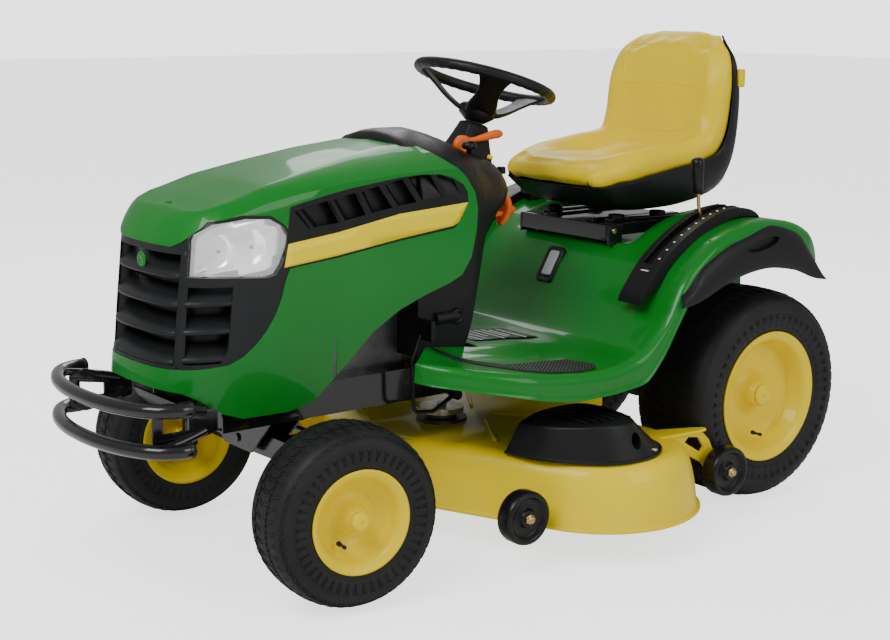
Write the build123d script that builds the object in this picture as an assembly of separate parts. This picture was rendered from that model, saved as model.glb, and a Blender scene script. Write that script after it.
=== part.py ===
"""Riding lawn mower (lawn tractor with a 48 inch, three-blade, side-discharge deck), built as separate pieces.

Units are millimetres, +Z is up, the front of the machine faces -Y and its left side is +X.
Every piece is drawn about the vehicle's own centre plane (x = 0), with the ground at z = 0.
ROW_SHIFT then moves the whole machine so that the origin is on the ground under the centre of its bounding box.
The front wheels stand steered slightly to the right, which is the rest pose.
"""

from build123d import *
import os
from math import cos, radians, sin

# ---------------------------------------------------------------- driving dimensions
ROW_SHIFT = (89, 20, 0)

REAR_AXLE_Y = 700
FRONT_AXLE_Y = -565
REST_STEER = -7  # degrees about +Z, to the right

FRONT_TYRE_R, FRONT_TYRE_W = 203, 165  # 16 x 6.50-8
FRONT_RIM_R, FRONT_BEAD_R, FRONT_FLANGE_X = 115, 101, 75
FRONT_WHEEL_X = 395
KINGPIN_X = 300
KINGPIN_R = 9.5

REAR_TYRE_R, REAR_TYRE_W = 280, 241  # 22 x 9.50-12
REAR_RIM_R, REAR_BEAD_R, REAR_FLANGE_X = 169, 152, 107
REAR_WHEEL_X = 350

RAIL_X, RAIL_Z0, RAIL_Z1, RAIL_FLANGE, RAIL_T = 160, 350, 423, 30, 4
RAIL_FRONT_Y, RAIL_REAR_Y = -735, 850
AXLE_PIVOT_Z, AXLE_PIN_R, AXLE_HOLE_R = 285, 9.95, 10.0
HITCH_HOLE_Y, HITCH_HOLE_R, HITCH_Z, HITCH_T = 888, 9.5, 300, 6

BUMPER_R, BUMPER_UPPER_Z, BUMPER_LOWER_Z = 16, 444, 357
BUMPER_X, BUMPER_FRONT_Y, BUMPER_END_Y = 272, -1003, -850

HOOD_HINGE_Y, HOOD_HINGE_Z, HOOD_PIN_R = -800, 436, 5
HOOD_WALL = 4
HOOD_REAR_X, HOOD_SIDE_X, HOOD_NOSE_X = 226, 208, 150
HOOD_NOSE_Y = -845

WHEEL_CENTRE_Y, WHEEL_CENTRE_Z, COLUMN_TILT = 120, 1080, 17.8
STEERING_RING_R, STEERING_TUBE_R = 168, 13.5
DASH_HALF, PTO_X, PTO_Y = 196, 104, -12
STEERING_SHAFT_R, STEERING_BUSH_R = 9.5, 9.6
PEDAL_PIN_R, PEDAL_BORE_R = 6, 6.1

FLOOR_Z, PLATFORM_Z, FENDER_X, FENDER_T, WELL_X = 440, 668, 475, 5, 210

SEAT_HINGE_Y, SEAT_HINGE_Z = 404, 690
SEAT_PLATE_TOP = 708

LIFT_PIVOT_Y, LIFT_PIVOT_Z, LIFT_LEVER_X = 571, 640, 362

DECK_LIP_Z, DECK_TOP_Z, DECK_T = 85, 236, 4
LOBE_R, LOBE_X, LOBE_Y, CENTRE_LOBE_Y = 240, 395, 160, -10
CHUTE_HINGE_X, CHUTE_HINGE_Z, CHUTE_PIN_R = -636, 250, 4
BLADE_R, BLADE_Z, SPINDLE_R = 212, 112, 12
GAUGE_R, GAUGE_W, GAUGE_Z = 62.5, 44, 134
HANGER_Y, HANGER_Z, HANGER_PIN_R = (30, 340), 362, 6
GAUGE_LEFT = ((488, -154), (512, 484))  # centre x, y of the front and rear wheels
GAUGE_RIGHT = ((-488, -154), (-512, 484))

os.makedirs("parts", exist_ok=True)


# ---------------------------------------------------------------- small helpers
def box(x0, x1, y0, y1, z0, z1):
    """A block between two corners."""
    return Pos((x0 + x1) / 2, (y0 + y1) / 2, (z0 + z1) / 2) * Box(abs(x1 - x0), abs(y1 - y0),
        abs(z1 - z0))


def rod(radius, start, end):
    """A round bar from one point to another."""
    a, b = Vector(*start), Vector(*end)
    return extrude(Plane(origin=a, z_dir=b - a) * Circle(radius), amount=(b - a).length)


def prism_x(points, x0, x1, corner=0):
    """A (y, z) outline extruded across the machine from x0 to x1."""
    face = make_face(Plane.YZ * Polyline(*points, close=True))
    if corner:
        face = fillet(face.vertices(), corner)
    return Pos(x0, 0, 0) * extrude(face, amount=x1 - x0, dir=(1, 0, 0))


def prism_y(points, y0, y1, corner=0):
    """An (x, z) outline extruded along the machine from y0 to y1."""
    face = make_face(Plane.XZ * Polyline(*points, close=True))
    if corner:
        face = fillet(face.vertices(), corner)
    return Pos(0, y0, 0) * extrude(face, amount=y1 - y0, dir=(0, 1, 0))


def prism_z(points, z0, z1, corner=0):
    """An (x, y) outline extruded upwards from z0 to z1."""
    face = make_face(Polyline(*points, close=True))
    if corner:
        face = fillet(face.vertices(), corner)
    return Pos(0, 0, z0) * extrude(face, amount=z1 - z0, dir=(0, 0, 1))


def turned(points, corner=0):
    """An (x, radius) outline turned about the X axis."""
    face = make_face(Plane.XZ * Polyline(*points, close=True))
    if corner:
        face = fillet(face.vertices(), corner)
    return revolve(face, Axis.X)


def both_sides(shape):
    """The shape and its mirror image across the centre plane, as two solids."""
    return [*shape.solids(), *mirror(shape, Plane.YZ).solids()]


def tube(radius, points, corner, bore=0):
    """A bent bar, or a tube if bore is given, along straight runs with rounded corners."""
    path = FilletPolyline(*points, radius=corner)
    start = Plane(origin=path @ 0, z_dir=path % 0)
    section = start * Circle(radius)
    if bore:
        section -= start * Circle(bore)
    return sweep(section, path=path)


def largest(shape):
    """The biggest solid of a shape."""
    return max(shape.solids(), key=lambda s: s.volume)


PARTS = {}


def keep(name, *shapes):
    """Stores a node as one compound of its separate solids."""
    solids = [s for shape in shapes for s in (shape if isinstance(shape, list) else shape.solids())]
    PARTS[name] = Compound(children=[Solid(s.wrapped) for s in solids])


# ---------------------------------------------------------------- frame
def make_frame():
    inner = RAIL_X - RAIL_FLANGE
    rail = box(RAIL_X - RAIL_T, RAIL_X, RAIL_FRONT_Y, RAIL_REAR_Y, RAIL_Z0, RAIL_Z1)
    rail += box(inner, RAIL_X, RAIL_FRONT_Y, RAIL_REAR_Y, RAIL_Z0, RAIL_Z0 + RAIL_T)
    rail += box(inner, RAIL_X, RAIL_FRONT_Y, RAIL_REAR_Y, RAIL_Z1 - RAIL_T, RAIL_Z1)
    for y in HANGER_Y:
        rail += rod(HANGER_PIN_R, (RAIL_X - 2, y, HANGER_Z), (RAIL_X + 18, y, HANGER_Z))
    left, right = both_sides(rail)
    left += rod(PEDAL_PIN_R, (RAIL_X - 2, -139, 362), (232, -139, 362))
    right += rod(PEDAL_PIN_R, (2 - RAIL_X, -269, 380), (-318, -269, 380))
    right += rod(PEDAL_PIN_R, (2 - RAIL_X, -204, 380), (-403, -204, 380))
    keep("frame_rails", left, right)

    engine_plate = box(-RAIL_X, RAIL_X, -560, -150, RAIL_Z1, RAIL_Z1 + 4)
    engine_plate -= Pos(0, -330, RAIL_Z1) * Cylinder(30, 20)
    axle_plates = []
    for y in (FRONT_AXLE_Y - 41, FRONT_AXLE_Y + 35):
        plate = prism_y([(-150, RAIL_Z0), (150, RAIL_Z0), (60, 262), (-60, 262)], y, y + 6)
        plate -= rod(AXLE_HOLE_R, (0, y - 5, AXLE_PIVOT_Z), (0, y + 11, AXLE_PIVOT_Z))
        axle_plates += plate.solids()
    hitch = box(-RAIL_X, RAIL_X, RAIL_REAR_Y, RAIL_REAR_Y + 6, HITCH_Z, RAIL_Z1)
    hitch += box(-45, 45, RAIL_REAR_Y, HITCH_HOLE_Y + 25, HITCH_Z, HITCH_Z + HITCH_T)
    hitch -= Pos(0, HITCH_HOLE_Y, HITCH_Z + HITCH_T / 2) * Cylinder(HITCH_HOLE_R, 4 * HITCH_T)
    keep("frame_crossmembers", engine_plate, axle_plates, hitch)


def bumper_tube(z, radius, bore=0):
    points = [
        (-BUMPER_X, BUMPER_END_Y, z),
        (-BUMPER_X, -920, z),
        (-170, BUMPER_FRONT_Y + 18, z),
        (0, BUMPER_FRONT_Y, z),
        (170, BUMPER_FRONT_Y + 18, z),
        (BUMPER_X, -920, z),
        (BUMPER_X, BUMPER_END_Y, z),
    ]
    return tube(radius, points, 55, bore)


def make_bumper():
    heights = (BUMPER_UPPER_Z, BUMPER_LOWER_Z)
    keep("bumper_tubes", *(bumper_tube(z, BUMPER_R, BUMPER_R - 2.5) for z in heights))
    side = [(-742, 352), (-742, 398), (-880, 398), (-930, 430), (-1003, 444), (-1003, 357), (-900, 330),
        (-800, 330)]
    y, z = HOOD_HINGE_Y, HOOD_HINGE_Z
    bracket = prism_x(side, 126, 130) + prism_x([(y - 9, 397), (y - 9, z), (y + 9, z), (y + 9, 397)],
        126, 130)
    bracket += rod(9, (126, y, z), (130, y, z)) + rod(HOOD_PIN_R, (126, y, z), (150, y, z))
    for z in heights:
        bracket -= bumper_tube(z, BUMPER_R + 0.1)
    pan = box(-125.9, 125.9, -950, -745, 331, 334)
    keep("bumper_brackets", both_sides(largest(bracket)), pan)


# ---------------------------------------------------------------- engine and drive
def make_engine():
    crank_y = -330
    crankcase = box(-115, 115, crank_y - 110, crank_y + 130, RAIL_Z1 + 4, 560)
    crankcase = fillet(crankcase.edges().filter_by(Axis.Z), 25)
    keep("engine_crankcase", crankcase)
    cylinders = []
    for side in (1, -1):
        barrel = Cylinder(46, 130)
        for i in range(7):
            barrel += Pos(0, 0, -55 + 17 * i) * Cylinder(60, 5)
        barrel += Pos(0, 0, 70) * Box(96, 96, 26)
        barrel = Pos(side * 118, crank_y - 118, 500) * Rot(0, 0, side * 45) * Rot(90, 0, 0) * barrel
        barrel -= box(-115, 115, crank_y - 110, crank_y + 130, 420, 562)
        cylinders.append(largest(barrel))
    keep("engine_cylinders", cylinders)
    housing = Pos(0, crank_y, 640) * Cylinder(148, 150)
    housing = fillet(housing.edges().group_by(Axis.Z)[-1], 30)
    housing -= Pos(0, crank_y, 620) * Cylinder(143, 130)
    housing -= Pos(0, crank_y, 700) * Cylinder(85, 60)
    for side in (1, -1):
        housing -= Pos(side * 118, crank_y - 118, 560) * Box(180, 180, 40)
    housing += Pos(0, crank_y, 700) * (Cylinder(86, 8) - Cylinder(24, 20))
    keep("engine_blower_housing", housing)
    muffler = Pos(0, -640, 475) * Rot(0, 90, 0) * Cylinder(46, 200)
    muffler += rod(12, (90, -640, 440), (90, -640, 390))
    keep("muffler", muffler)


def make_rear_drive():
    case = box(-70, 70, 615, 790, 210, 345)
    case = fillet(case.edges(), 16)
    for side in (1, -1):
        case += rod(30, (side * 60, REAR_AXLE_Y, REAR_TYRE_R), (side * 205, REAR_AXLE_Y, REAR_TYRE_R))
    keep("transaxle_case", case)
    tank = box(-150, 150, 440, 610, 455, 640)
    keep("fuel_tank", fillet(tank.edges(), 22))
    battery = box(-85, 85, 640, 770, 430, 600)
    battery += Pos(-55, 705, 606) * Cylinder(8, 14)
    battery += Pos(55, 705, 606) * Cylinder(8, 14)
    keep("battery", battery)


# ---------------------------------------------------------------- hood
HOOD_TOP = [(HOOD_NOSE_Y, 765), (-840, 828), (-775, 862), (-676, 893), (-560, 918), (-427, 942)]
HOOD_TOP += [(-316, 958), (-213, 967)]
HOOD_REAR = [(-177, 925), (-108, 878), (-72, 823), (-75, 758), (-90, 683), (-115, 644)]
HOOD_BOTTOM = [(-211, 614), (-298, 582), (-359, 549), (-460, 447), (-509, 402), (-578, 385)]
HOOD_BOTTOM += [(-690, 378), (-790, 432), (-838, 446)]


def hood_block(inset):
    """The hood's outer form moved inwards by inset: side view, plan and front view outlines crossed."""
    lower = inset * 30
    side = [(y + (inset if y < -500 else 0), z - inset) for y, z in HOOD_TOP]
    side += [(-80, 963), (-20, 900), (-20, 640)] if inset else HOOD_REAR
    side += [(y, z - lower) for y, z in HOOD_BOTTOM]
    side[-1] = (side[-1][0] + inset, side[-1][1])
    block = prism_x(side, -300, 300)
    rear, mid, nose = HOOD_REAR_X - inset, HOOD_SIDE_X - inset, HOOD_NOSE_X - inset
    plan = [(0, HOOD_NOSE_Y + inset), (nose, -818 + inset), (mid - 12, -765 + inset)]
    plan += [(mid, -690), (rear, -260), (rear, -40)]
    plan += [(-x, y) for x, y in reversed(plan[1:])]
    block &= prism_z(plan, 200, 1100)
    shoulder = [(rear - 66, 985 - inset), (rear - 26, 950 - inset), (rear, 890 - inset)]
    shoulder += [(rear, 600), (rear - 22, 380 - lower)]
    front = [(0, 992 - inset)] + shoulder
    front += [(-x, z) for x, z in reversed(front[1:])]
    return block & prism_y(front, -900, 0)


GRILLE_OPENING = [(-900, 500), (-790, 500), (-700, 512), (-655, 552), (-615, 640), (-592, 706)]
GRILLE_OPENING += [(-592, 790), (-640, 820), (-762, 815), (-836, 757), (-900, 757)]
VENT_OPENING = [(-570, 790), (-560, 852), (-425, 878), (-290, 887), (-203, 890), (-150, 868)]
VENT_OPENING += [(-120, 820), (-120, 790), (-160, 765), (-590, 672), (-590, 740)]


def make_hood():
    shell = hood_block(0) - hood_block(HOOD_WALL)
    shell -= prism_x(GRILLE_OPENING, -300, 300)
    shell -= prism_x(VENT_OPENING, -300, 300)
    shell = largest(shell)
    y, z = HOOD_HINGE_Y, HOOD_HINGE_Z
    for side in (1, -1):
        ear = box(side * 140, side * 144, y - 8, y + 10, z - 10, 460) + box(side * 140, side * 159,
            y - 6, y + 10, 456, 460)
        shell += ear - rod(HOOD_PIN_R + 0.1, (-200, y, z), (200, y, z))
    keep("hood_shell", largest(shell))

    skin = hood_block(0.5) - hood_block(12)
    front = skin & prism_x(offset_outline(GRILLE_OPENING, -1), -300, 300)
    lights = [(-817, 700), (-812, 758), (-762, 812), (-640, 817), (-600, 786), (-606, 716), (-630, 690)]
    light_block = prism_x(lights, 90, 300)
    lamp = largest(front & light_block)
    keep("headlights", both_sides(lamp))
    grille = front - prism_x(lights, -300, -89.5) - prism_x(lights, 89.5, 300)
    for i in range(4):
        z = 530 + 56 * i
        gap = prism_x([(-900, z), (-670, z), (-670, z + 34), (-900, z + 34)], -300, 300)
        for x0, x1 in ((-135, 135), (147, 300), (-300, -147)):
            grille -= gap & box(x0, x1, -900, -670, 400, 760)
    keep("grille", largest(grille))

    vent = skin & prism_x(offset_outline(VENT_OPENING, -1), 100, 300)
    for i in range(5):
        y = -520 + 72 * i
        vent -= prism_x([(y, 800), (y + 52, 812), (y + 30, 868), (y - 20, 848)], 0, 300)
    keep("side_vents", both_sides(largest(vent)))

    side = [(-806, 412), (-790, 388), (-768, 368), (-763, 372), (-784, 392), (-799, 412)]
    valance = prism_x(side, -125.8, 125.8)
    keep("hood_valance", valance)


def offset_outline(points, amount):
    """The outline grown by amount, or shrunk if amount is negative, as a list of its corners."""
    grown = offset(make_face(Polyline(*points, close=True)), amount=amount, kind=Kind.INTERSECTION)
    return [((edge @ 0).X, (edge @ 0).Y) for edge in grown.face().outer_wire().order_edges()]


# ---------------------------------------------------------------- dash, fender body and seat
def make_dash():
    lower = [(-250, 446), (-60, 446), (-57, 600), (-30, 700), (-60, 860), (-190, 860), (-196, 612)]
    lower = prism_x(lower, -DASH_HALF, DASH_HALF)
    side = [(-205, 972), (-169, 929), (-101, 881), (-67, 824), (-70, 758), (-85, 683), (-108, 646),
        (-62, 600)]
    side += [(-57, 600), (-40, 680), (10, 735), (110, 742), (138, 795), (158, 833), (146, 896),
        (30, 912), (-51, 948)]
    side += [(-142, 978)]
    plan = [(-150, -230), (150, -230), (200, -150), (200, -20), (172, 42), (105, 108), (45, 146),
        (0, 154)]
    plan += [(-45, 146), (-105, 108), (-172, 42), (-200, -20), (-200, -150)]
    arch = [(-222, 400), (-222, 840), (-205, 884), (-168, 925), (-115, 955), (-60, 972), (0, 979)]
    arch += [(-x, z) for x, z in reversed(arch[:-1])]
    dash = prism_x(side, -250, 250) & prism_z(plan, 400, 1100) & prism_y(arch, -300, 300)
    tilt = Pos(0, WHEEL_CENTRE_Y, WHEEL_CENTRE_Z) * Rot(-COLUMN_TILT, 0, 0)
    dash += tilt * Pos(0, 0, -160) * Cylinder(46, 70)
    dash += lower
    dash -= tilt * Pos(0, 0, -250) * Cylinder(STEERING_BUSH_R, 330)
    dash -= box(8 - DASH_HALF, DASH_HALF - 8, -260, -75, 440, 830)
    dash -= rod(7.3, (50, 60, 752), (50, 200, 752))
    dash -= Pos(PTO_X, PTO_Y, 890) * Cylinder(6.3, 80) + Pos(PTO_X, PTO_Y, 957) * Cylinder(19, 60)
    keep("dash_pedestal", largest(dash))


FENDER_TOP = [(-312, 476), (-200, 460), (-48, 440), (99, 431), (228, 454), (309, 527), (360, 612),
    (423, 668)]
FENDER_TOP += [(527, 722), (643, 742), (742, 734), (863, 694), (955, 640)]


def make_fender():
    under = [(y + (4 if 228 <= y < 500 else -3 if y > 700 else 0), z - FENDER_T) for y,
        z in reversed(FENDER_TOP)]
    outer = [(235, -316), (300, -312), (400, -225), (452, -110), (470, 40), (FENDER_X, 300),
        (FENDER_X, 830), (440, 960)]
    outer += [(-x, y) for x, y in reversed(outer)]
    sheet = prism_x(FENDER_TOP + under, -500, 500) & prism_z(outer, 300, 900)
    sheet -= box(-203, 203, -400, -56, 300, 900)
    sheet -= box(-232, 232, -400, -215, 300, 900)

    def skirt(grow):
        plan = offset_outline(outer, grow)
        side = [(y, z - 0.5) for y, z in FENDER_TOP[:8]] + [(423, 600), (392, 591), (363, 550),
            (296, 448), (257, 401)]
        side += [(231, 383), (69, 371), (-46, 379), (-200, 410), (-330, 430), (-330, 478)]
        return prism_x(side, -500, 500) & prism_z(plan, 300, 900)

    wall = skirt(0) - skirt(-FENDER_T).intersect(box(-500, 500, -500, 424, 300, 900))
    wall -= box(-232, 232, -400, -200, 300, 900)
    wall -= box(-440, 440, -56, 500, 300, 900)
    body = sheet + wall
    body -= box(-150, 150, 395, 830, 560, 760)
    body += box(-210, 210, 390, 835, PLATFORM_Z - FENDER_T, PLATFORM_Z)
    for x in (1, -1):
        body += box(x * 210, x * 150, 390, 835, PLATFORM_Z - FENDER_T, 712)
        body -= box(x * 204, x * 140, 380, 840, PLATFORM_Z, 760)
    body -= box(LIFT_LEVER_X - 12, LIFT_LEVER_X + 12, 480, 655, 600, 800)
    body -= Pos(-300, 560, 700) * Cylinder(32, 120)
    body -= box(-309, -291, -300, -195, 400, 500) + box(-394, -376, -235, -130, 400, 500)
    well = [(332, 548), (360, 607), (423, 664), (527, 718), (643, 738), (742, 731), (866, 688),
        (866, 440), (332, 440)]
    body += prism_x(well, 205, 209) + prism_x(well, -209, -205)
    body += box(-209, 209, 862, 866, 440, 690)
    for side in (1, -1):
        ear = box(side * 167, side * 174, 392, 416, PLATFORM_Z - 2, 702)
        body += ear - rod(8.1, (-200, SEAT_HINGE_Y, SEAT_HINGE_Z), (200, SEAT_HINGE_Y, SEAT_HINGE_Z))
        body += box(LIFT_LEVER_X + side * 14, LIFT_LEVER_X + side * 20, 557, 585, 626, 724)
    y, z = LIFT_PIVOT_Y, LIFT_PIVOT_Z
    body += rod(PEDAL_PIN_R, (LIFT_LEVER_X - 20, y, z), (LIFT_LEVER_X + 20, y, z))
    keep("fender_body", largest(body))
    above = [(y - 0.2, z + 0.2) for y, z in FENDER_TOP] + [(955, 900), (-312, 900)]
    below = [(y - 4, z + 5) for y, z in FENDER_TOP] + [(955, 100), (-312, 100)]
    window = box(-22, 22, 335, 372, 560, 640) & prism_x(above, -90, 90)
    window &= prism_x(below, -90, 90)
    keep("fuel_gauge_window", largest(window))

    mat_plan = [(210, -205), (266, -190), (334, -150), (410, -95), (440, -30), (452, 50), (440, 112),
        (400, 126)]
    mat_plan += [(338, 108), (305, 40), (290, -60), (262, -140)]
    top = [(y, z + 0.1) for y, z in FENDER_TOP[:6]]
    band = top + [(y, z + 5) for y, z in reversed(FENDER_TOP[:6])]
    mat = prism_x(band, 180, 460) & prism_z(mat_plan, 300, 900)
    left, right = both_sides(largest(mat))
    keep("foot_mats", left, right - box(-310, -290, -300, -190, 400, 500) - box(-395, -375, -235, -125,
        400, 500))


def make_fender_trim():
    lower = [(340, 556), (422, 574), (490, 600), (568, 618), (648, 624), (731, 613), (792, 592),
        (868, 576)]
    upper = [(850, 622), (796, 675), (708, 722), (650, 726), (571, 708), (509, 692), (441, 661),
        (376, 603)]
    flare = prism_x(lower + upper, FENDER_X + 0.1, FENDER_X + 15)
    keep("fender_flares", both_sides(flare))
    rim = [(248, 562), (317, 548), (376, 553), (409, 587), (494, 667), (582, 716), (650, 746),
        (635, 772), (542, 784)]
    rim += [(419, 746), (319, 678)]
    console = prism_x(rim, LIFT_LEVER_X - 42, LIFT_LEVER_X + 42)
    under = [(y, z + 0.2) for y, z in FENDER_TOP] + [(955, 300), (-312, 300)]
    console -= prism_x(under, 0, 500)
    console -= box(LIFT_LEVER_X - 9, LIFT_LEVER_X + 9, 486, 648, 600, 900)
    keep("lift_console", largest(console))
    cap = Pos(-300, 560, 755) * Cylinder(45, 22)
    neck = Pos(-300, 560, 695) * Cylinder(25, 98)
    keep("fuel_cap", fillet(cap.edges().group_by(Axis.Z)[-1], 4) + neck)


def make_seat():
    plate = box(-165, 165, 394, 700, PLATFORM_Z + 27, SEAT_PLATE_TOP - 1)
    plate -= box(-161, 161, 390, 696, PLATFORM_Z + 20, SEAT_PLATE_TOP - 5)
    plate += rod(8, (-175, SEAT_HINGE_Y, SEAT_HINGE_Z), (175, SEAT_HINGE_Y, SEAT_HINGE_Z))
    keep("seat_base_plate", plate)
    side = [(312, 800), (785, 800), (820, 850), (828, 1000), (826, 1150), (816, 1150), (816, 1000),
        (810, 862)]
    side += [(785, 815), (420, 815), (310, 822)]
    front = [(-208, 780), (208, 780), (208, 1000), (165, 1150), (-165, 1150), (-208, 1000)]
    plan = [(-150, 308), (150, 308), (208, 380), (208, 900), (-208, 900), (-208, 380)]
    pan = prism_x(side, -218, 218) & prism_y(front, 300, 900) & prism_z(plan, 700, 1200)
    rail_low = box(-110, -80, 440, 680, SEAT_PLATE_TOP - 0.7, SEAT_PLATE_TOP + 8)
    rails = [*rail_low.solids(), *mirror(rail_low, Plane.YZ).solids()]
    keep("seat_shell", largest(pan))
    springs = []
    for x in (-95, 95):
        springs += (box(x - 15, x + 15, 440, 690, SEAT_PLATE_TOP - 0.7, SEAT_PLATE_TOP + 6)).solids()
        for y in (480, 650):
            springs += (Pos(x, y, 757) * (Cylinder(24, 86) - Cylinder(19, 90))).solids()
    springs += rod(5, (110, 480, 722), (250, 480, 752)).solids()
    keep("seat_springs", springs)
    cushion = [(300, 824), (420, 815.5), (784.5, 815.5), (809.5, 862), (815.5, 1000), (815.5, 1151)]
    cushion += [(824, 1190), (806, 1202), (785, 1192), (762, 1160), (745, 1110), (732, 1050), (722, 990)]
    cushion += [(708, 930), (680, 885), (630, 862), (560, 856), (470, 862), (400, 866), (340, 856),
        (300, 838)]
    seat = prism_x(cushion, -238, 238)
    bolster = [(-214, 850), (-214, 905), (-200, 960), (-190, 1100), (-168, 1168), (-121, 1202),
        (121, 1202)]
    bolster += [(168, 1168), (190, 1100), (200, 960), (214, 905), (214, 850), (200, 812), (-200, 812)]
    plan = [(-135, 298), (135, 298), (190, 330), (214, 390), (214, 900), (-214, 900), (-214, 390),
        (-190, 330)]
    seat &= prism_y(bolster, 290, 900) & prism_z(plan, 700, 1300)
    wing = [(430, 855), (560, 850), (690, 875), (722, 930), (730, 1060), (714, 990), (696, 930),
        (666, 908)]
    wing = prism_x(wing + [(598, 903), (487, 886), (420, 868)], 178, 214)
    keep("seat_cushion", largest(seat + wing + mirror(wing, Plane.YZ)))


# ---------------------------------------------------------------- front axle and wheels
def steer(side):
    """Turns a front wheel's pieces about their kingpin into the rest pose."""
    return Pos(side * KINGPIN_X, FRONT_AXLE_Y, 0) * Rot(0, 0, REST_STEER) * Pos(-side * KINGPIN_X,
        -FRONT_AXLE_Y, 0)


def make_front_axle():
    y, x1 = FRONT_AXLE_Y, KINGPIN_X
    front = [(-x1, 262), (-x1, 308), (-90, 308), (-40, 312), (40, 312), (90, 308), (x1, 308), (x1, 262)]
    beam = prism_y(front + [(60, 256), (-60, 256)], y - 22, y + 22)
    beam += rod(22, (0, y - 34, AXLE_PIVOT_Z), (0, y + 34, AXLE_PIVOT_Z))
    beam += rod(AXLE_PIN_R, (0, y - 46, AXLE_PIVOT_Z), (0, y + 46, AXLE_PIVOT_Z))
    for side in (1, -1):
        beam -= box(side * (x1 - 17), side * (x1 + 30), y - 40, y + 40, 250, 320)
        beam += Pos(side * x1, y, 285) * Cylinder(18, 60)
        beam -= Pos(side * x1, y, 285) * Cylinder(KINGPIN_R + 0.1, 80)
    keep("front_axle_beam", beam)
    for side, name in ((1, "left"), (-1, "right")):
        knuckle = Pos(side * x1, y, 265) * Cylinder(KINGPIN_R, 130)
        knuckle += Pos(side * x1, y, 224) * Cylinder(19, 60)
        knuckle += rod(KINGPIN_R, (side * x1, y, FRONT_TYRE_R),
            (side * (FRONT_WHEEL_X + 62), y, FRONT_TYRE_R))
        knuckle += rod(15, (side * x1, y, FRONT_TYRE_R), (side * (FRONT_WHEEL_X - 60), y, FRONT_TYRE_R))
        arm = Pos(side * x1, y, 320) * Cylinder(17, 8)
        arm += box(side * (x1 - 36), side * (x1 + 12), y, y + 90, 316, 324) - box(side * (x1 - 12),
            side * (x1 + 20), y + 40, y + 100, 300, 330)
        arm += Pos(side * (x1 - 25), y + 90, 320) * Cylinder(13, 8)
        knuckle += arm
        keep(f"knuckle_{name}", steer(side) * knuckle)
    ends = []
    for side in (1, -1):
        end = steer(side) * Pos(side * (x1 - 25), y + 90, 300) * Cylinder(5, 30)
        ends.append(end.center())
    bar = rod(7, (ends[0].X, ends[0].Y, 298), (ends[1].X, ends[1].Y, 298))
    for c in ends:
        bar += Pos(c.X, c.Y, 302) * Cylinder(11, 24)
    keep("tie_rod", bar)


def rim_profile(rim_r, bead_r, flange, disc_x, hub_in, hub_out, bore, hub_r):
    """Half section of a pressed steel wheel: flanges, bead seats, drop centre, disc and hub tube."""
    t, well = 4, bead_r - 16
    top = [(-flange, rim_r), (-flange + t, rim_r), (-flange + t, bead_r), (-flange + 34, bead_r),
        (-flange + 44, well)]
    top += [(disc_x + 4, well), (flange - 34, well), (flange - 26, bead_r), (flange - t, bead_r),
        (flange - t, rim_r), (flange, rim_r)]
    under = [(flange, bead_r - t), (flange - 23, bead_r - t), (flange - 31, well - t),
        (disc_x + t, well - t)]
    under += [(disc_x + t - 10, hub_r + 22), (disc_x + t + 8, hub_r), (hub_out, hub_r), (hub_out, bore),
        (hub_in, bore), (hub_in, hub_r)]
    under += [(disc_x + 4, hub_r), (disc_x - 14, hub_r + 22), (disc_x, well - t),
        (-flange + 41, well - t), (-flange + 31, bead_r - t)]
    under += [(-flange, bead_r - t)]
    return turned(top + under)


def tyre_profile(tyre_r, width, rim_r, bead_r, flange):
    """Half section of a tyre: beads on their seats, sidewalls bulging past the rim, a crowned tread band."""
    w, t = width / 2, 9
    seat, f = bead_r + 0.1, flange - 4.1
    outer = [(f, seat), (f, rim_r + 1), (w - 2, rim_r + 14), (w, (rim_r + tyre_r) / 2),
        (w - 5, tyre_r - 24), (w - 18, tyre_r - 6)]
    outer += [(w * 0.4, tyre_r), (-w * 0.4, tyre_r), (-w + 18, tyre_r - 6), (-w + 5, tyre_r - 24),
        (-w, (rim_r + tyre_r) / 2)]
    outer += [(-w + 2, rim_r + 14), (-f, rim_r + 1), (-f, seat), (-f + 26, seat), (-f + 18, rim_r + 2),
        (-w + t, rim_r + 16)]
    outer += [(-w + t, (rim_r + tyre_r) / 2), (-w + t + 8, tyre_r - 28), (-w * 0.4, tyre_r - 14),
        (w * 0.4, tyre_r - 14)]
    outer += [(w - t - 8, tyre_r - 28), (w - t, (rim_r + tyre_r) / 2), (w - t, rim_r + 16),
        (f - 18, rim_r + 2), (f - 26, seat)]
    return turned(outer)


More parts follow.
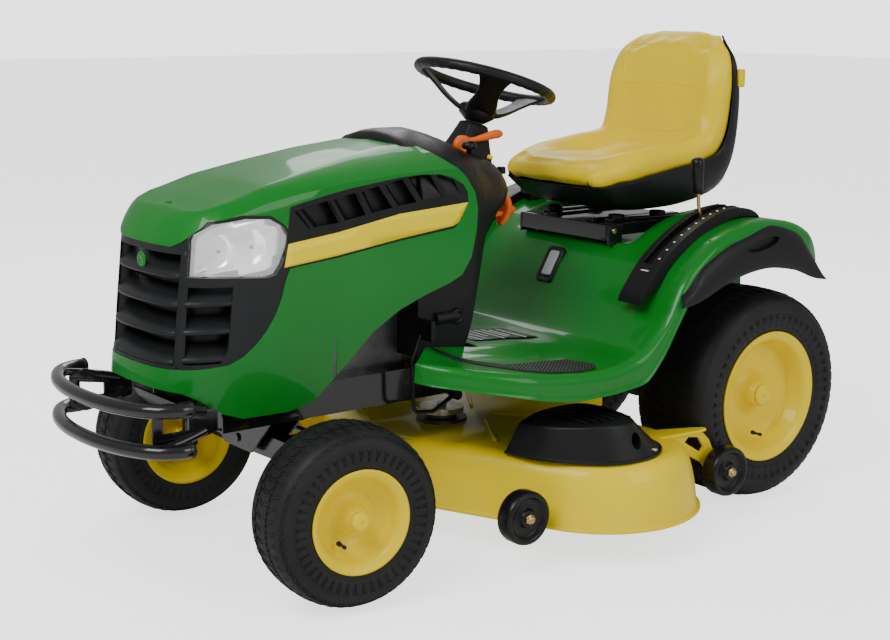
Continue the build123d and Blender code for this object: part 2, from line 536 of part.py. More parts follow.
def make_wheels():
    rim = rim_profile(FRONT_RIM_R, FRONT_BEAD_R, FRONT_FLANGE_X, 22, -55, 64, KINGPIN_R + 0.1, 19)
    rim += Pos(71, 0, 0) * Rot(0, 90, 0) * Cylinder(24, 14)
    rim -= Pos(65, 0, 0) * Rot(0, 90, 0) * Cylinder(KINGPIN_R + 0.5, 6)
    tyre = tyre_profile(FRONT_TYRE_R, FRONT_TYRE_W, FRONT_RIM_R, FRONT_BEAD_R, FRONT_FLANGE_X)
    for side, name in ((1, "left"), (-1, "right")):
        place = steer(side) * Pos(side * FRONT_WHEEL_X, FRONT_AXLE_Y, FRONT_TYRE_R) * Rot(0, 0,
            0 if side > 0 else 180)
        keep(f"front_rim_{name}", place * rim)
        keep(f"front_tyre_{name}", place * tyre)
    shaft_r = 12.5
    rim = rim_profile(REAR_RIM_R, REAR_BEAD_R, REAR_FLANGE_X, 30, -60, 78, shaft_r, 30)
    rim += rod(shaft_r, (-340, 0, 0), (72, 0, 0))
    rim += Pos(84, 0, 0) * Rot(0, 90, 0) * Cylinder(34, 14)
    tyre = tyre_profile(REAR_TYRE_R, REAR_TYRE_W, REAR_RIM_R, REAR_BEAD_R, REAR_FLANGE_X)
    for side, name in ((1, "left"), (-1, "right")):
        place = Pos(side * REAR_WHEEL_X, REAR_AXLE_Y, REAR_TYRE_R) * Rot(0, 0, 0 if side > 0 else 180)
        keep(f"rear_rim_{name}", place * rim)
        keep(f"rear_tyre_{name}", place * tyre)
    case = PARTS["transaxle_case"]
    bored = case.solids()[0] - rod(shaft_r + 0.1, (-400, REAR_AXLE_Y, REAR_TYRE_R),
        (400, REAR_AXLE_Y, REAR_TYRE_R))
    keep("transaxle_case", bored)


# ---------------------------------------------------------------- mower deck
LOBES = ((LOBE_X, LOBE_Y), (0, CENTRE_LOBE_Y), (-LOBE_X, LOBE_Y))


def deck_front(low_r, low_z, top_r, top_z):
    """The straight front walls between the lobes, tangent to circles of low_r below and top_r above."""
    run = LOBE_X**2 + (LOBE_Y - CENTRE_LOBE_Y) ** 2
    nx, ny = (LOBE_Y - CENTRE_LOBE_Y) / run**0.5, -LOBE_X / run**0.5
    rings = []
    for radius, z in ((low_r, low_z), (top_r, top_z)):
        half = [(LOBE_X + nx * radius, LOBE_Y + ny * radius), (nx * radius, CENTRE_LOBE_Y + ny * radius)]
        points = [(LOBE_X, LOBE_Y)] + half + [(0, CENTRE_LOBE_Y)]
        rings.append(make_face(Pos(0, 0, z) * Polyline(*points, close=True)))
    wall = loft(rings)
    return wall + mirror(wall, Plane.YZ)


def deck_form(inset):
    height = DECK_TOP_Z - inset - DECK_LIP_Z
    top = DECK_TOP_Z - inset
    side = [(0, DECK_LIP_Z), (400 - inset, DECK_LIP_Z), (370 - inset, top), (0, top)]
    form = prism_x(side, -LOBE_X, LOBE_X)
    form += deck_front(LOBE_R - inset, DECK_LIP_Z, LOBE_R - 34 - inset, top)
    for x, y in LOBES:
        form += Pos(x, y, DECK_LIP_Z + height / 2) * Cone(LOBE_R - inset, LOBE_R - 34 - inset, height)
    return form


def make_deck():
    deck = deck_form(0)
    lip = prism_x([(0, 85), (408, 85), (408, 91), (0, 91)], -LOBE_X, LOBE_X)
    for x, y in LOBES:
        lip += Pos(x, y, DECK_LIP_Z + 3) * Cylinder(LOBE_R + 7, 6)
    lip += deck_front(LOBE_R + 7, DECK_LIP_Z, LOBE_R + 7, DECK_LIP_Z + 6)
    deck += lip
    deck -= deck_form(DECK_T)
    deck -= box(-700, -560, 20, 300, 80, 225)
    for x, y in LOBES:
        deck -= Pos(x, y, DECK_TOP_Z) * Cylinder(38, 40)
    for y in (6, 307):
        deck += box(-642, -530, y, y + 7, DECK_TOP_Z - 3, 256)
    deck += rod(CHUTE_PIN_R, (CHUTE_HINGE_X, 8, CHUTE_HINGE_Z), (CHUTE_HINGE_X, 312, CHUTE_HINGE_Z))
    keep("deck_shell", largest(deck))
    housings, covers = [], []
    for i, (x, y) in enumerate(LOBES):
        housing = Pos(x, y, DECK_TOP_Z + 4) * Cylinder(64, 8) + Pos(x, y, 227) * Cylinder(37, 54)
        housings += (housing - Pos(x, y, 240) * Cylinder(SPINDLE_R + 0.1, 100)).solids()
        blade = Pos(x, y, BLADE_Z) * Rot(0, 0, 25 + 40 * i) * (Box(2 * BLADE_R, 57,
            5) & Cylinder(BLADE_R, 20))
        blade += Pos(x, y, (BLADE_Z + 280) / 2) * Cylinder(SPINDLE_R, 280 - BLADE_Z)
        blade += Pos(x, y, 264) * Cylinder(56, 14) + Pos(x, y, 118) * Cylinder(30, 10)
        keep(f"blade_{('left', 'centre', 'right')[i]}", blade)
    keep("spindle_housings", housings)
    for side in (1, -1):
        plan = [(345, -88), (440, -62), (526, 2), (570, 65), (580, 140), (556, 200), (500, 246),
            (400, 258)]
        plan += [(312, 232), (292, 120), (305, 0)]
        top = [(366, -68), (445, -46), (514, 6), (548, 62), (553, 116), (530, 150), (480, 168),
            (400, 172)]
        top += [(340, 150), (328, 90), (338, 0)]
        rings = []
        for z, points in ((DECK_TOP_Z + 0.1, plan), (324, top)):
            points = [(side * px, py) for px, py in points]
            rings.append(make_face(Pos(0, 0, z) * Polyline(*points, close=True)))
        cover = loft(rings)
        inner = Pos(side * LOBE_X, LOBE_Y, 262) * Cylinder(68, 54)
        slots = box(side * 370, side * 472, -60, 54, 230, 247) + box(side * 522, side * 600, 4, 15, 230,
            258)
        covers.append(largest(cover - inner - slots))
    keep("spindle_covers", covers)


def gauge_wheel(x, y):
    half = GAUGE_W / 2
    right = [(16, GAUGE_R), (half, 56), (half, 50), (12, 46), (12, 22), (half, 20), (half, 8.1)]
    wheel = turned([(-u, r) for u, r in reversed(right)] + right)
    return Pos(x, y, GAUGE_Z) * wheel


def make_gauge_wheels():
    brackets = []
    for side in (1, -1):
        names = ("front", "rear")
        for i, (x, y) in enumerate(GAUGE_LEFT):
            keep(f"gauge_wheel_{names[i]}_{'left' if side > 0 else 'right'}", gauge_wheel(side * x, y))
        (xf, yf), (xr, yr) = GAUGE_LEFT
        inner = xf - GAUGE_W / 2 - 1
        outline = [(yf - 22, GAUGE_Z - 20), (yf - 22, 215), (-40, 245), (48, 245), (48, 240.5),
            (-30, 240.5)]
        outline += [(-8, 205), (yf + 90, 175), (yf + 22, GAUGE_Z - 20)]
        plate = prism_x(outline, inner - 6, inner)
        plate += box(inner - 90, inner, 10, 48, DECK_TOP_Z + 0.1, DECK_TOP_Z + 6)
        plate -= deck_form(0) + Pos(LOBE_X, LOBE_Y, 88) * Cylinder(LOBE_R + 8, 8)
        plate += rod(8, (inner - 10, yf, GAUGE_Z), (xf + GAUGE_W / 2 + 8, yf, GAUGE_Z))
        rear = xr - GAUGE_W / 2 - 1
        outline = [(yr - 20, GAUGE_Z - 22), (yr + 26, GAUGE_Z - 22), (yr + 26, GAUGE_Z + 20),
            (yr - 40, 262)]
        arm = prism_x(outline + [(300, 262), (300, 246), (378, 246), (404, 190)], rear - 6, rear)
        arm -= prism_x([(yr - 30, 170), (yr - 6, 170), (yr - 52, 238)], rear - 10, rear + 10)
        arm += box(rear - 80, rear, 300, 366, DECK_TOP_Z + 0.1, DECK_TOP_Z + 10)
        arm += box(rear - 6, rear, 300, 366, DECK_TOP_Z + 0.1, 262)
        arm -= deck_form(0)
        arm += rod(8, (rear - 10, yr, GAUGE_Z), (xr + GAUGE_W / 2 + 8, yr, GAUGE_Z))
        strap = box(170, 175, 15, 45, DECK_TOP_Z + 0.1, 413) + box(170, 175, 325, 355, DECK_TOP_Z + 0.1,
            413)
        strap += box(170, 190, 15, 355, DECK_TOP_Z + 0.1, DECK_TOP_Z + 5)
        for y in HANGER_Y:
            strap -= box(160, 180, y - 6.3, y + 6.3, 346, 408)
        for piece in (largest(plate), largest(arm), largest(strap)):
            brackets.append(piece if side > 0 else mirror(piece, Plane.YZ).solid())
    keep("deck_gauge_brackets", brackets)
    chute = prism_y([(-636, 246), (-636, 238), (-700, 236), (-812, 120), (-820, 120), (-704, 244)], 15,
        305)
    for y in (15, 299):
        chute += prism_y([(-648, 238), (-700, 240), (-815, 121), (-815, 112), (-700, 140), (-660, 190)],
            y, y + 6)
    x, z = CHUTE_HINGE_X, CHUTE_HINGE_Z
    chute += rod(8, (x, 15, z), (x, 305, z))
    chute -= rod(CHUTE_PIN_R + 0.1, (x, 0, z), (x, 320, z))
    keep("discharge_deflector", chute)


# ---------------------------------------------------------------- controls
def make_controls():
    tilt = Pos(0, WHEEL_CENTRE_Y, WHEEL_CENTRE_Z) * Rot(-COLUMN_TILT, 0, 0)
    ring = Torus(STEERING_RING_R, STEERING_TUBE_R)
    hub = Pos(0, 0, -72) * Cylinder(38, 30)
    wheel = ring + hub
    for angle in (90, 210, 330):
        outline = [(25, -84), (60, -70), (160, -8), (172, -4), (164, 8), (120, -22), (52, -60), (25, -60)]
        wheel += Rot(0, 0, angle) * prism_y(outline, -16, 16)
    wheel -= Pos(0, 0, -80) * Cylinder(STEERING_SHAFT_R + 0.05, 30)
    keep("steering_wheel", tilt * largest(wheel))
    keep("steering_shaft", tilt * Pos(0, 0, -230) * Cylinder(STEERING_SHAFT_R, 320))

    x = LIFT_LEVER_X
    y, z = LIFT_PIVOT_Y, LIFT_PIVOT_Z
    lever = rod(12, (x - 8, y, z), (x + 8, y, z))
    lever += prism_x([(y - 6, z), (y + 6, z), (545, 800), (533, 800)], x - 3, x + 3)
    lever -= rod(PEDAL_BORE_R, (x - 20, y, z), (x + 20, y, z))
    lever += rod(6, (x, 540, 790), (x - 14, 528, 850))
    lever += rod(14, (x - 13, 529, 840), (x - 22, 522, 900))
    keep("lift_lever", lever)

    throttle = rod(9, (52, 2, 950), (68, 2, 950))
    throttle += prism_x([(-4, 942), (4, 958), (118, 964), (126, 956), (118, 948)], 54, 66)
    keep("throttle_lever", throttle)
    keep("pto_knob", Pos(PTO_X, PTO_Y, 937) * Cylinder(17, 18) + Pos(PTO_X, PTO_Y, 915) * Cylinder(6, 30))
    handle = rod(7, (50, 90, 752), (50, 150, 752)) + box(34, 66, 140, 156, 736, 792)
    keep("choke_handle", handle)


def make_pedals():
    x = 218
    brake = tube(5, [(x, -236, 530), (x, -267, 457), (x, -262, 336), (x, -205, 330), (x, -142, 362)], 18)
    brake += box(x - 14, x + 44, -245, -233, 508, 556)
    brake += rod(12, (x - 12, -139, 362), (x + 12, -139, 362))
    keep("brake_pedal", brake - rod(PEDAL_BORE_R, (x - 30, -139, 362), (x + 30, -139, 362)))
    pads = (("forward_pedal", -300, -215, 545, 60), ("reverse_pedal", -385, -150, 520, 50))
    for name, x, y, z, w in pads:
        pad = box(x - w / 2, x + w / 2, y, y + 10, z - 45, z + 35)
        arm = prism_x([(y + 1, z - 30), (y + 1, z - 10), (y - 60, 395), (y - 60, 372), (y - 48, 372)],
            x - 5, x + 5)
        pedal = pad + arm + rod(12, (x - 14, y - 54, 380), (x + 14, y - 54, 380))
        keep(name, pedal - rod(PEDAL_BORE_R, (x - 30, y - 54, 380), (x + 30, y - 54, 380)))


make_frame()
make_bumper()
make_engine()
make_rear_drive()
make_hood()
make_dash()
make_fender()
make_fender_trim()
make_seat()
make_front_axle()
make_wheels()
make_deck()
make_gauge_wheels()
make_controls()
make_pedals()
for name, part in PARTS.items():
    export_step(Pos(*ROW_SHIFT) * part, f"parts/{name}.step")
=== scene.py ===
"""Looks, camera and light for the riding lawn mower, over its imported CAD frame.

Lengths in the functions below are millimetres about the machine's centre plane, with its left side at +x,
its front at -y and the ground at z = 0. at() turns them into the row frame's metres.
"""

from math import atan2, cos, hypot, pi, radians, sin

import bmesh
import bpy
from mathutils import Matrix, Vector


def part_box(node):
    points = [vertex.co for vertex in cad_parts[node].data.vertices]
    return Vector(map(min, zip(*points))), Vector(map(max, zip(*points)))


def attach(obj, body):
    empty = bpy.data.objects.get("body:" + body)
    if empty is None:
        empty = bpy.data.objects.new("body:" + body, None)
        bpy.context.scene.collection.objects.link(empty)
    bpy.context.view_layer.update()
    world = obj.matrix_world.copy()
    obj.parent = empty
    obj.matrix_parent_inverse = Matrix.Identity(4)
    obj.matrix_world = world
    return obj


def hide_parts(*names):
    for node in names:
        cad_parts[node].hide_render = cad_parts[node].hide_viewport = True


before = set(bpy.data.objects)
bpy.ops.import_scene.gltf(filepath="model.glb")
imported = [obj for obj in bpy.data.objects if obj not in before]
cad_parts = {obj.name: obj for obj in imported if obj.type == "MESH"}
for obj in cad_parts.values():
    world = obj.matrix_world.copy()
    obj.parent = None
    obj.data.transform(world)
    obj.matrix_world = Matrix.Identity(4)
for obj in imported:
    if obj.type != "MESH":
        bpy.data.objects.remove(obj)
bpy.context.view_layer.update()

MM = 1000  # millimetres in a metre
SIDES = ((1, "left"), (-1, "right"))  # the side of the centre plane that each hand's pieces are on

# ---------------------------------------------------------------- the machine's own axes in the row frame
REAR_AXLE_Y, REAR_AXLE_Z = 700, 280
FRONT_AXLE_Y, KINGPIN_X, FRONT_WHEEL_X, FRONT_AXLE_Z = -565, 300, 395, 203
REST_STEER = radians(-7)


def find_shift():
    """The row frame's x and y, in mm, of the machine's centre plane and of its own y = 0."""
    left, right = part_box("rear_tyre_left"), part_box("rear_tyre_right")
    x = MM / 2 * (left[0][0] + right[1][0])
    y = MM / 2 * (left[0][1] + left[1][1]) - REAR_AXLE_Y
    return x, y


SHIFT = find_shift()


def at(x, y, z):
    """A point in the machine's millimetres as a row-frame vector in metres."""
    return Vector(((x + SHIFT[0]) / MM, (y + SHIFT[1]) / MM, z / MM))


def linked(name, data):
    """A new object in the scene that shows the given data."""
    obj = bpy.data.objects.new(name, data)
    bpy.context.scene.collection.objects.link(obj)
    return obj


# ---------------------------------------------------------------- camera
CAMERA_AZIMUTH, CAMERA_ELEVATION, CAMERA_ROLL = radians(52.349), radians(10.581), radians(0.313)
CAMERA_AT = (3062.1, -2393.6, 1273.1)
CAMERA_LENS, CAMERA_SHIFT = 63.85, (0.01061, -0.02575)


def make_camera():
    a, e, r = CAMERA_AZIMUTH, CAMERA_ELEVATION, CAMERA_ROLL
    back = Vector((sin(a) * cos(e), -cos(a) * cos(e), sin(e)))
    right = (-back).cross(Vector((0, 0, 1))).normalized()
    up = right.cross(-back)
    right, up = cos(r) * right + sin(r) * up, cos(r) * up - sin(r) * right
    camera = linked("camera", bpy.data.cameras.new("camera"))
    turn = Matrix((right, up, back)).transposed().to_4x4()
    camera.matrix_world = Matrix.Translation(at(*CAMERA_AT)) @ turn
    camera.data.sensor_width = 36
    camera.data.lens = CAMERA_LENS
    camera.data.shift_x, camera.data.shift_y = CAMERA_SHIFT
    camera.data.clip_end = 60
    bpy.context.scene.camera = camera


# ---------------------------------------------------------------- materials
class Nodes:
    """A material's node tree with short calls for the nodes used here."""

    def __init__(self, name, colour, rough, metal=0.0, **extra):
        self.mat = bpy.data.materials.new(name)
        self.mat.use_nodes = True
        self.tree = self.mat.node_tree
        self.bsdf = self.tree.nodes["Principled BSDF"]
        self.put(self.bsdf, {"Base Color": (*colour, 1), "Roughness": rough, "Metallic": metal, **extra})
        self.coords = self.new("ShaderNodeTexCoord").outputs["Object"]

    def new(self, kind, values=None, **props):
        node = self.tree.nodes.new(kind)
        for key, value in props.items():
            setattr(node, key, value)
        self.put(node, values or {})
        return node

    def put(self, node, values):
        for key, value in values.items():
            socket = node.inputs[key]
            if isinstance(value, bpy.types.NodeSocket):
                self.tree.links.new(value, socket)
            else:
                socket.default_value = value

    def noise(self, scale, detail=4.0, rough=0.55, stretch=None):
        vector = self.coords
        if stretch:
            vector = self.new("ShaderNodeMapping", {"Vector": vector, "Scale": stretch}).outputs[0]
        node = self.new("ShaderNodeTexNoise", {"Vector": vector, "Scale": scale, "Detail": detail,
            "Roughness": rough})
        return node.outputs["Fac"]

    def ramp(self, fac, low, high, a=0.35, b=0.65):
        """A smooth change from colour low to colour high as fac goes from a to b."""
        node = self.new("ShaderNodeValToRGB", {"Fac": fac})
        for stop, place, colour in zip(node.color_ramp.elements, (a, b), (low, high)):
            stop.position = place
            stop.color = (*colour, 1) if len(colour) == 3 else colour
        return node.outputs["Color"]

    def span(self, fac, low, high, a=0.3, b=0.7):
        """A number that goes from low to high as fac goes from a to b."""
        names = {"From Min": a, "From Max": b, "To Min": low, "To Max": high}
        return self.new("ShaderNodeMapRange", {"Value": fac, **names}).outputs["Result"]

    def bump(self, height, strength, distance, under=None):
        values = {"Height": height, "Strength": strength, "Distance": distance}
        if under:
            values["Normal"] = under
        return self.new("ShaderNodeBump", values).outputs["Normal"]


def paint(name, colour, darker, coat=0.6, rough=0.22):
    """Baked enamel: slight colour drift, faint orange peel, clear coat, dust in patches."""
    m = Nodes(name, colour, rough, **{"Coat Weight": coat, "Coat Roughness": 0.06,
        "Specular IOR Level": 0.2})
    cloud = m.noise(3.2)
    m.put(m.bsdf, {"Base Color": m.ramp(cloud, darker, colour, 0.3, 0.7)})
    m.put(m.bsdf, {"Roughness": m.span(m.noise(14, 6), rough - 0.04, rough + 0.07)})
    m.put(m.bsdf, {"Normal": m.bump(m.noise(160, 2), 0.05, 0.0006)})
    return m.mat


def plastic(name, colour, rough, strength=0.25, lighter=1.35):
    """Moulded plastic with a fine spark-eroded grain, slightly paler where it is rubbed."""
    m = Nodes(name, colour, rough, **{"Specular IOR Level": 0.3})
    pale = tuple(c * lighter for c in colour)
    m.put(m.bsdf, {"Base Color": m.ramp(m.noise(9, 5), colour, pale, 0.35, 0.75)})
    m.put(m.bsdf, {"Roughness": m.span(m.noise(30, 4), rough - 0.06, rough + 0.08)})
    m.put(m.bsdf, {"Normal": m.bump(m.noise(900.0, 2), strength, 0.0004)})
    return m.mat


def rubber(name, colour, rough):
    """Tyre rubber: fine mould texture, dusty grey bloom."""
    m = Nodes(name, colour, rough, **{"Specular IOR Level": 0.35})
    bloom = tuple(c * 2.1 + 0.004 for c in colour)
    m.put(m.bsdf, {"Base Color": m.ramp(m.noise(11, 7, 0.65), colour, bloom, 0.42, 0.8)})
    m.put(m.bsdf, {"Roughness": m.span(m.noise(22, 5), rough - 0.08, rough + 0.08)})
    m.put(m.bsdf, {"Normal": m.bump(m.noise(700, 3), 0.3, 0.0006)})
    return m.mat


def metal(name, colour, rough, drift=0.08, brushed=(1, 1, 1)):
    """Bare or plated metal with soft staining and fine directional marks."""
    m = Nodes(name, colour, rough, 1.0)
    stain = tuple(c * 0.72 for c in colour)
    m.put(m.bsdf, {"Base Color": m.ramp(m.noise(26, 6), stain, colour, 0.3, 0.6)})
    m.put(m.bsdf, {"Roughness": m.span(m.noise(60, 4, 0.5, brushed), rough - drift, rough + drift)})
    m.put(m.bsdf, {"Normal": m.bump(m.noise(420, 3, 0.5, brushed), 0.12, 0.0004)})
    return m.mat


def painted_reflection_glow(material, strength):
    """A painted reflection: an even white glow on a lamp's reflector, standing in for the light that it
    mirrors.
    """
    bsdf = material.node_tree.nodes["Principled BSDF"]
    bsdf.inputs["Emission Color"].default_value = (1, 1, 1, 1)
    bsdf.inputs["Emission Strength"].default_value = strength
    return material


def vinyl(name, colour, darker):
    """Coated seat fabric: pebbled leather grain over broad soft creases."""
    m = Nodes(name, colour, 0.36, **{"Specular IOR Level": 0.3})
    m.put(m.bsdf, {"Base Color": m.ramp(m.noise(6, 5), darker, colour, 0.25, 0.6)})
    cells = m.new("ShaderNodeTexVoronoi", {"Vector": m.coords, "Scale": 420.0})
    pebble = m.bump(cells.outputs["Distance"], 0.22, 0.0006)
    m.put(m.bsdf, {"Normal": m.bump(m.noise(18, 3), 0.12, 0.004, pebble)})
    m.put(m.bsdf, {"Roughness": m.span(m.noise(12, 3), 0.32, 0.42)})
    return m.mat


def grip_rubber(name, colour):
    """A moulded anti-slip tread of small raised ribs, for the foot mats."""
    m = Nodes(name, colour, 0.6)
    wave = m.new("ShaderNodeTexWave", {"Vector": m.coords, "Scale": 62.0, "Distortion": 0.0},
        bands_direction="DIAGONAL")
    m.put(m.bsdf, {"Normal": m.bump(wave.outputs["Fac"], 0.9, 0.0025)})
    # the grooves between the ribs are painted half as dark: painted shade in the recesses
    m.put(m.bsdf, {"Base Color": m.ramp(wave.outputs["Fac"], tuple(c * 0.5 for c in colour), colour, 0.2,
        0.7)})
    return m.mat


def clear(name):
    """Clear polycarbonate lens."""
    m = Nodes(name, (0.97, 0.98, 1.0), 0.03, **{"Transmission Weight": 1.0, "IOR": 1.25, "Alpha": 0.16})
    flutes = m.new("ShaderNodeTexWave", {"Vector": m.coords, "Scale": 30.0, "Distortion": 0.0},
        bands_direction="Z")
    m.put(m.bsdf, {"Normal": m.bump(flutes.outputs["Fac"], 0.08, 0.001)})
    return m.mat


def make_materials():
    green = paint("green_paint", (0.0, 0.2, 0.014), (0.0, 0.175, 0.01), coat=0.4, rough=0.4)
    yellow = paint("yellow_paint", (0.92, 0.7, 0.0), (0.88, 0.64, 0.0), coat=0.25, rough=0.4)
    gloss_black = paint("black_enamel", (0.008, 0.008, 0.009), (0.006, 0.006, 0.006), coat=0.8,
        rough=0.25)
    return {
        "green_paint": green,
        "yellow_paint": yellow,
        "black_paint": gloss_black,
        "black_plastic": plastic("black_plastic", (0.006, 0.006, 0.0066), 0.42),
        "grey_plastic": plastic("charcoal_plastic", (0.011, 0.012, 0.013), 0.4),
        "satin_plastic": plastic("satin_black_plastic", (0.006, 0.006, 0.0065), 0.3, strength=0.08),
        "mat_rubber": grip_rubber("mat_rubber", (0.016, 0.016, 0.016)),
        "tyre": rubber("tyre_rubber", (0.006, 0.006, 0.0065), 0.6),
        "lens": clear("lamp_lens"),
        # the lamp reflectors glow evenly white: a painted reflection
        "chrome": painted_reflection_glow(metal("lamp_reflector", (0.95, 0.96, 0.97), 0.16, drift=0.05), 0.5),
        "window": plastic("gauge_window", (0.45, 0.47, 0.45), 0.25, strength=0.05),
        "seat_vinyl": vinyl("seat_vinyl", (0.9, 0.66, 0.0), (0.84, 0.59, 0.0)),
        "steel": metal("zinc_plate", (0.62, 0.58, 0.48), 0.34, brushed=(1, 1, 6)),
        "brass": metal("yellow_zinc", (0.6, 0.42, 0.18), 0.35),
        "aluminium": metal("cast_aluminium", (0.16, 0.16, 0.165), 0.5),
        "tank": plastic("tank_plastic", (0.5, 0.5, 0.44), 0.5),
        "orange_plastic": plastic("orange_plastic", (0.88, 0.15, 0.01), 0.34, strength=0.08, lighter=1.1),
        "dark_rod": metal("oiled_steel", (0.03, 0.03, 0.03), 0.4),
        "white_ink": plastic("white_print", (0.75, 0.75, 0.72), 0.5, strength=0.03, lighter=1.05),
        "stripe": plastic("stripe_print", (0.92, 0.71, 0.0), 0.4, strength=0.02, lighter=1.03),
    }


MATS = make_materials()


# ---------------------------------------------------------------- mesh helpers
def add_object(name, mesh, material, smooth=True):
    obj = linked(name, mesh)
    if material:
        mesh.materials.append(MATS[material])
    if smooth:
        mesh.shade_smooth()
    return obj


def mesh_object(name, points, faces, material, smooth=True):
    """An object from points in the machine's millimetres and faces of point numbers."""
    mesh = bpy.data.meshes.new(name)
    mesh.from_pydata([at(*p) for p in points], [], faces)
    mesh.validate()
    bm = bmesh.new()
    bm.from_mesh(mesh)
    bmesh.ops.recalc_face_normals(bm, faces=bm.faces)
    bm.to_mesh(mesh)
    bm.free()
    return add_object(name, mesh, material, smooth)


def grid_faces(rows, cols, wrap_rows=False, wrap_cols=False):
    """Quads between neighbouring points of a rows x cols grid numbered row by row."""
    faces = []
    for i in range(rows if wrap_rows else rows - 1):
        for j in range(cols if wrap_cols else cols - 1):
            k, m = (i + 1) % rows, (j + 1) % cols
            faces.append((i * cols + j, i * cols + m, k * cols + m, k * cols + j))
    return faces


def loft(name, rows, material, closed=False, loop=False, caps=False):
    """A skin through rows of points. closed makes each row a ring, loop joins the last row to the first."""
    cols = len(rows[0])
    faces = grid_faces(len(rows), cols, loop, closed)
    if caps:
        faces.append(tuple(range(cols)))
        faces.append(tuple((len(rows) - 1) * cols + j for j in range(cols)))
    return mesh_object(name, [p for row in rows for p in row], faces, material)


def closed_loft(name, rows, material):
    """A closed skin through rings of points, with a cap on each end."""
    return loft(name, rows, material, closed=True, caps=True)


def both_sides(half):
    """A line that starts on the centre plane, with its mirror image put before it."""
    return [(-p[0], *p[1:]) for p in reversed(half[1:])] + half


def modify(obj, kind, **props):
    """Adds a modifier with the given settings."""
    mod = obj.modifiers.new(kind.lower(), kind)
    for key, value in props.items():
        setattr(mod, key, value)
    return mod


def apply_modifiers(obj):
    """Makes the object's modifiers part of its mesh."""
    graph = bpy.context.evaluated_depsgraph_get()
    mesh = bpy.data.meshes.new_from_object(obj.evaluated_get(graph), depsgraph=graph)
    obj.modifiers.clear()
    obj.data = mesh
    return obj


def cleaned(obj, gap):
    """Merges the tiny edges that a boolean leaves, closer than gap mm."""
    bm = bmesh.new()
    bm.from_mesh(obj.data)
    bmesh.ops.remove_doubles(bm, verts=bm.verts, dist=gap / MM)
    bmesh.ops.dissolve_degenerate(bm, edges=bm.edges, dist=gap / 2 / MM)
    bm.to_mesh(obj.data)
    bm.free()
    return obj


def bevelled(obj, width, segments=2, angle=30):
    """Rounds the object's sharp edges by width mm and keeps its flats flat."""
    modify(obj, "BEVEL", width=width / MM, segments=segments, limit_method="ANGLE",
        angle_limit=radians(angle))
    modify(obj, "WEIGHTED_NORMAL", keep_sharp=True)
    return apply_modifiers(obj)


def thick(obj, inwards):
    """Gives a skin a wall, inwards mm behind it."""
    modify(obj, "SOLIDIFY", thickness=inwards / MM, offset=-1, use_even_offset=True)
    return apply_modifiers(obj)


def cut(obj, tool, operation="DIFFERENCE", folded=False):
    """Boolean with a tool object that is then thrown away. folded is for a skin that meets itself."""
    modify(obj, "BOOLEAN", object=tool, operation=operation, solver="EXACT", use_self=folded)
    apply_modifiers(obj)
    bpy.data.objects.remove(tool)
    return obj


def prism(points, low, high, axis="x", name="tool"):
    """A closed prism: an outline in the plane across axis, from low to high along it."""
    place = {"x": lambda a, b, t: (t, a, b), "y": lambda a, b, t: (a, t, b), "z": lambda a, b,
        t: (a, b, t)}[axis]
    count = len(points)
    ring = [place(a, b, t) for t in (low, high) for a, b in points]
    faces = [tuple(range(count)), tuple(range(2 * count - 1, count - 1, -1))]
    faces += [(i, (i + 1) % count, count + (i + 1) % count, count + i) for i in range(count)]
    return mesh_object(name, ring, faces, None, smooth=False)


def dress(obj, material):
    """Gives the whole object one material and smooth shading."""
    obj.data.materials.clear()
    obj.data.materials.append(MATS[material])
    obj.data.shade_smooth()
    return obj


def plate(name, points, low, high, axis, material, round_by=1.5, segments=2):
    """A flat piece cut to an outline, with eased edges."""
    return bevelled(dress(prism(points, low, high, axis, name), material), round_by, segments)


def rect(a0, a1, b0, b1):
    """The outline of an upright rectangle."""
    return [(a0, b0), (a1, b0), (a1, b1), (a0, b1)]


def oval(a, b, half_a, half_b, step=15, tilt=0):
    """The outline of an oval about (a, b), a point every step degrees, its far end tilt mm higher."""
    angles = [radians(degrees) for degrees in range(0, 360, step)]
    return [(a + half_a * cos(t), b + half_b * sin(t) + tilt * cos(t)) for t in angles]


def moved(outline, a, b):
    """The outline, moved by a and b."""
    return [(p + a, q + b) for p, q in outline]


def across(side, near, far):
    """From low to high, two distances from the centre plane on the given side of it."""
    return sorted((side * near, side * far))


def block(name, x0, x1, y0, y1, z0, z1, material, round_by=2.0, segments=2):
    """A box with eased edges."""
    return plate(name, rect(x0, x1, y0, y1), z0, z1, "z", material, round_by, segments)


def around(steps):
    """The angles of a full turn in equal steps."""
    return [2 * pi * i / steps for i in range(steps)]


def lathe(name, profile, material, centre, axis=(1, 0, 0), steps=72):
    """A profile of (along, radius) turned about an axis through centre. A radius of 0.1 closes an end."""
    turn = Vector((0, 0, 1)).rotation_difference(Vector(axis)).to_matrix()
    rows = []
    for a in around(steps):
        rows.append([Vector(centre) + turn @ Vector((r * cos(a), r * sin(a), t)) for t, r in profile])
    return loft(name, rows, material, closed=True, loop=True)


def pipe(name, points, radius, material, steps=16):
    """A bent round bar through points, each given in the machine's millimetres."""
    curve = bpy.data.curves.new(name, "CURVE")
    curve.dimensions = "3D"
    curve.bevel_depth = radius / MM
    curve.bevel_resolution = steps // 4
    curve.use_fill_caps = True
    spline = curve.splines.new("NURBS")
    spline.points.add(len(points) - 1)
    for point, place in zip(spline.points, points):
        point.co = (*at(*place), 1)
    spline.order_u = 3
    spline.use_endpoint_u = True
    spline.resolution_u = 12
    holder = linked(name, curve)
    graph = bpy.context.evaluated_depsgraph_get()
    mesh = bpy.data.meshes.new_from_object(holder.evaluated_get(graph), depsgraph=graph)
    bpy.data.objects.remove(holder)
    mesh.materials.clear()
    return add_object(name, mesh, material)


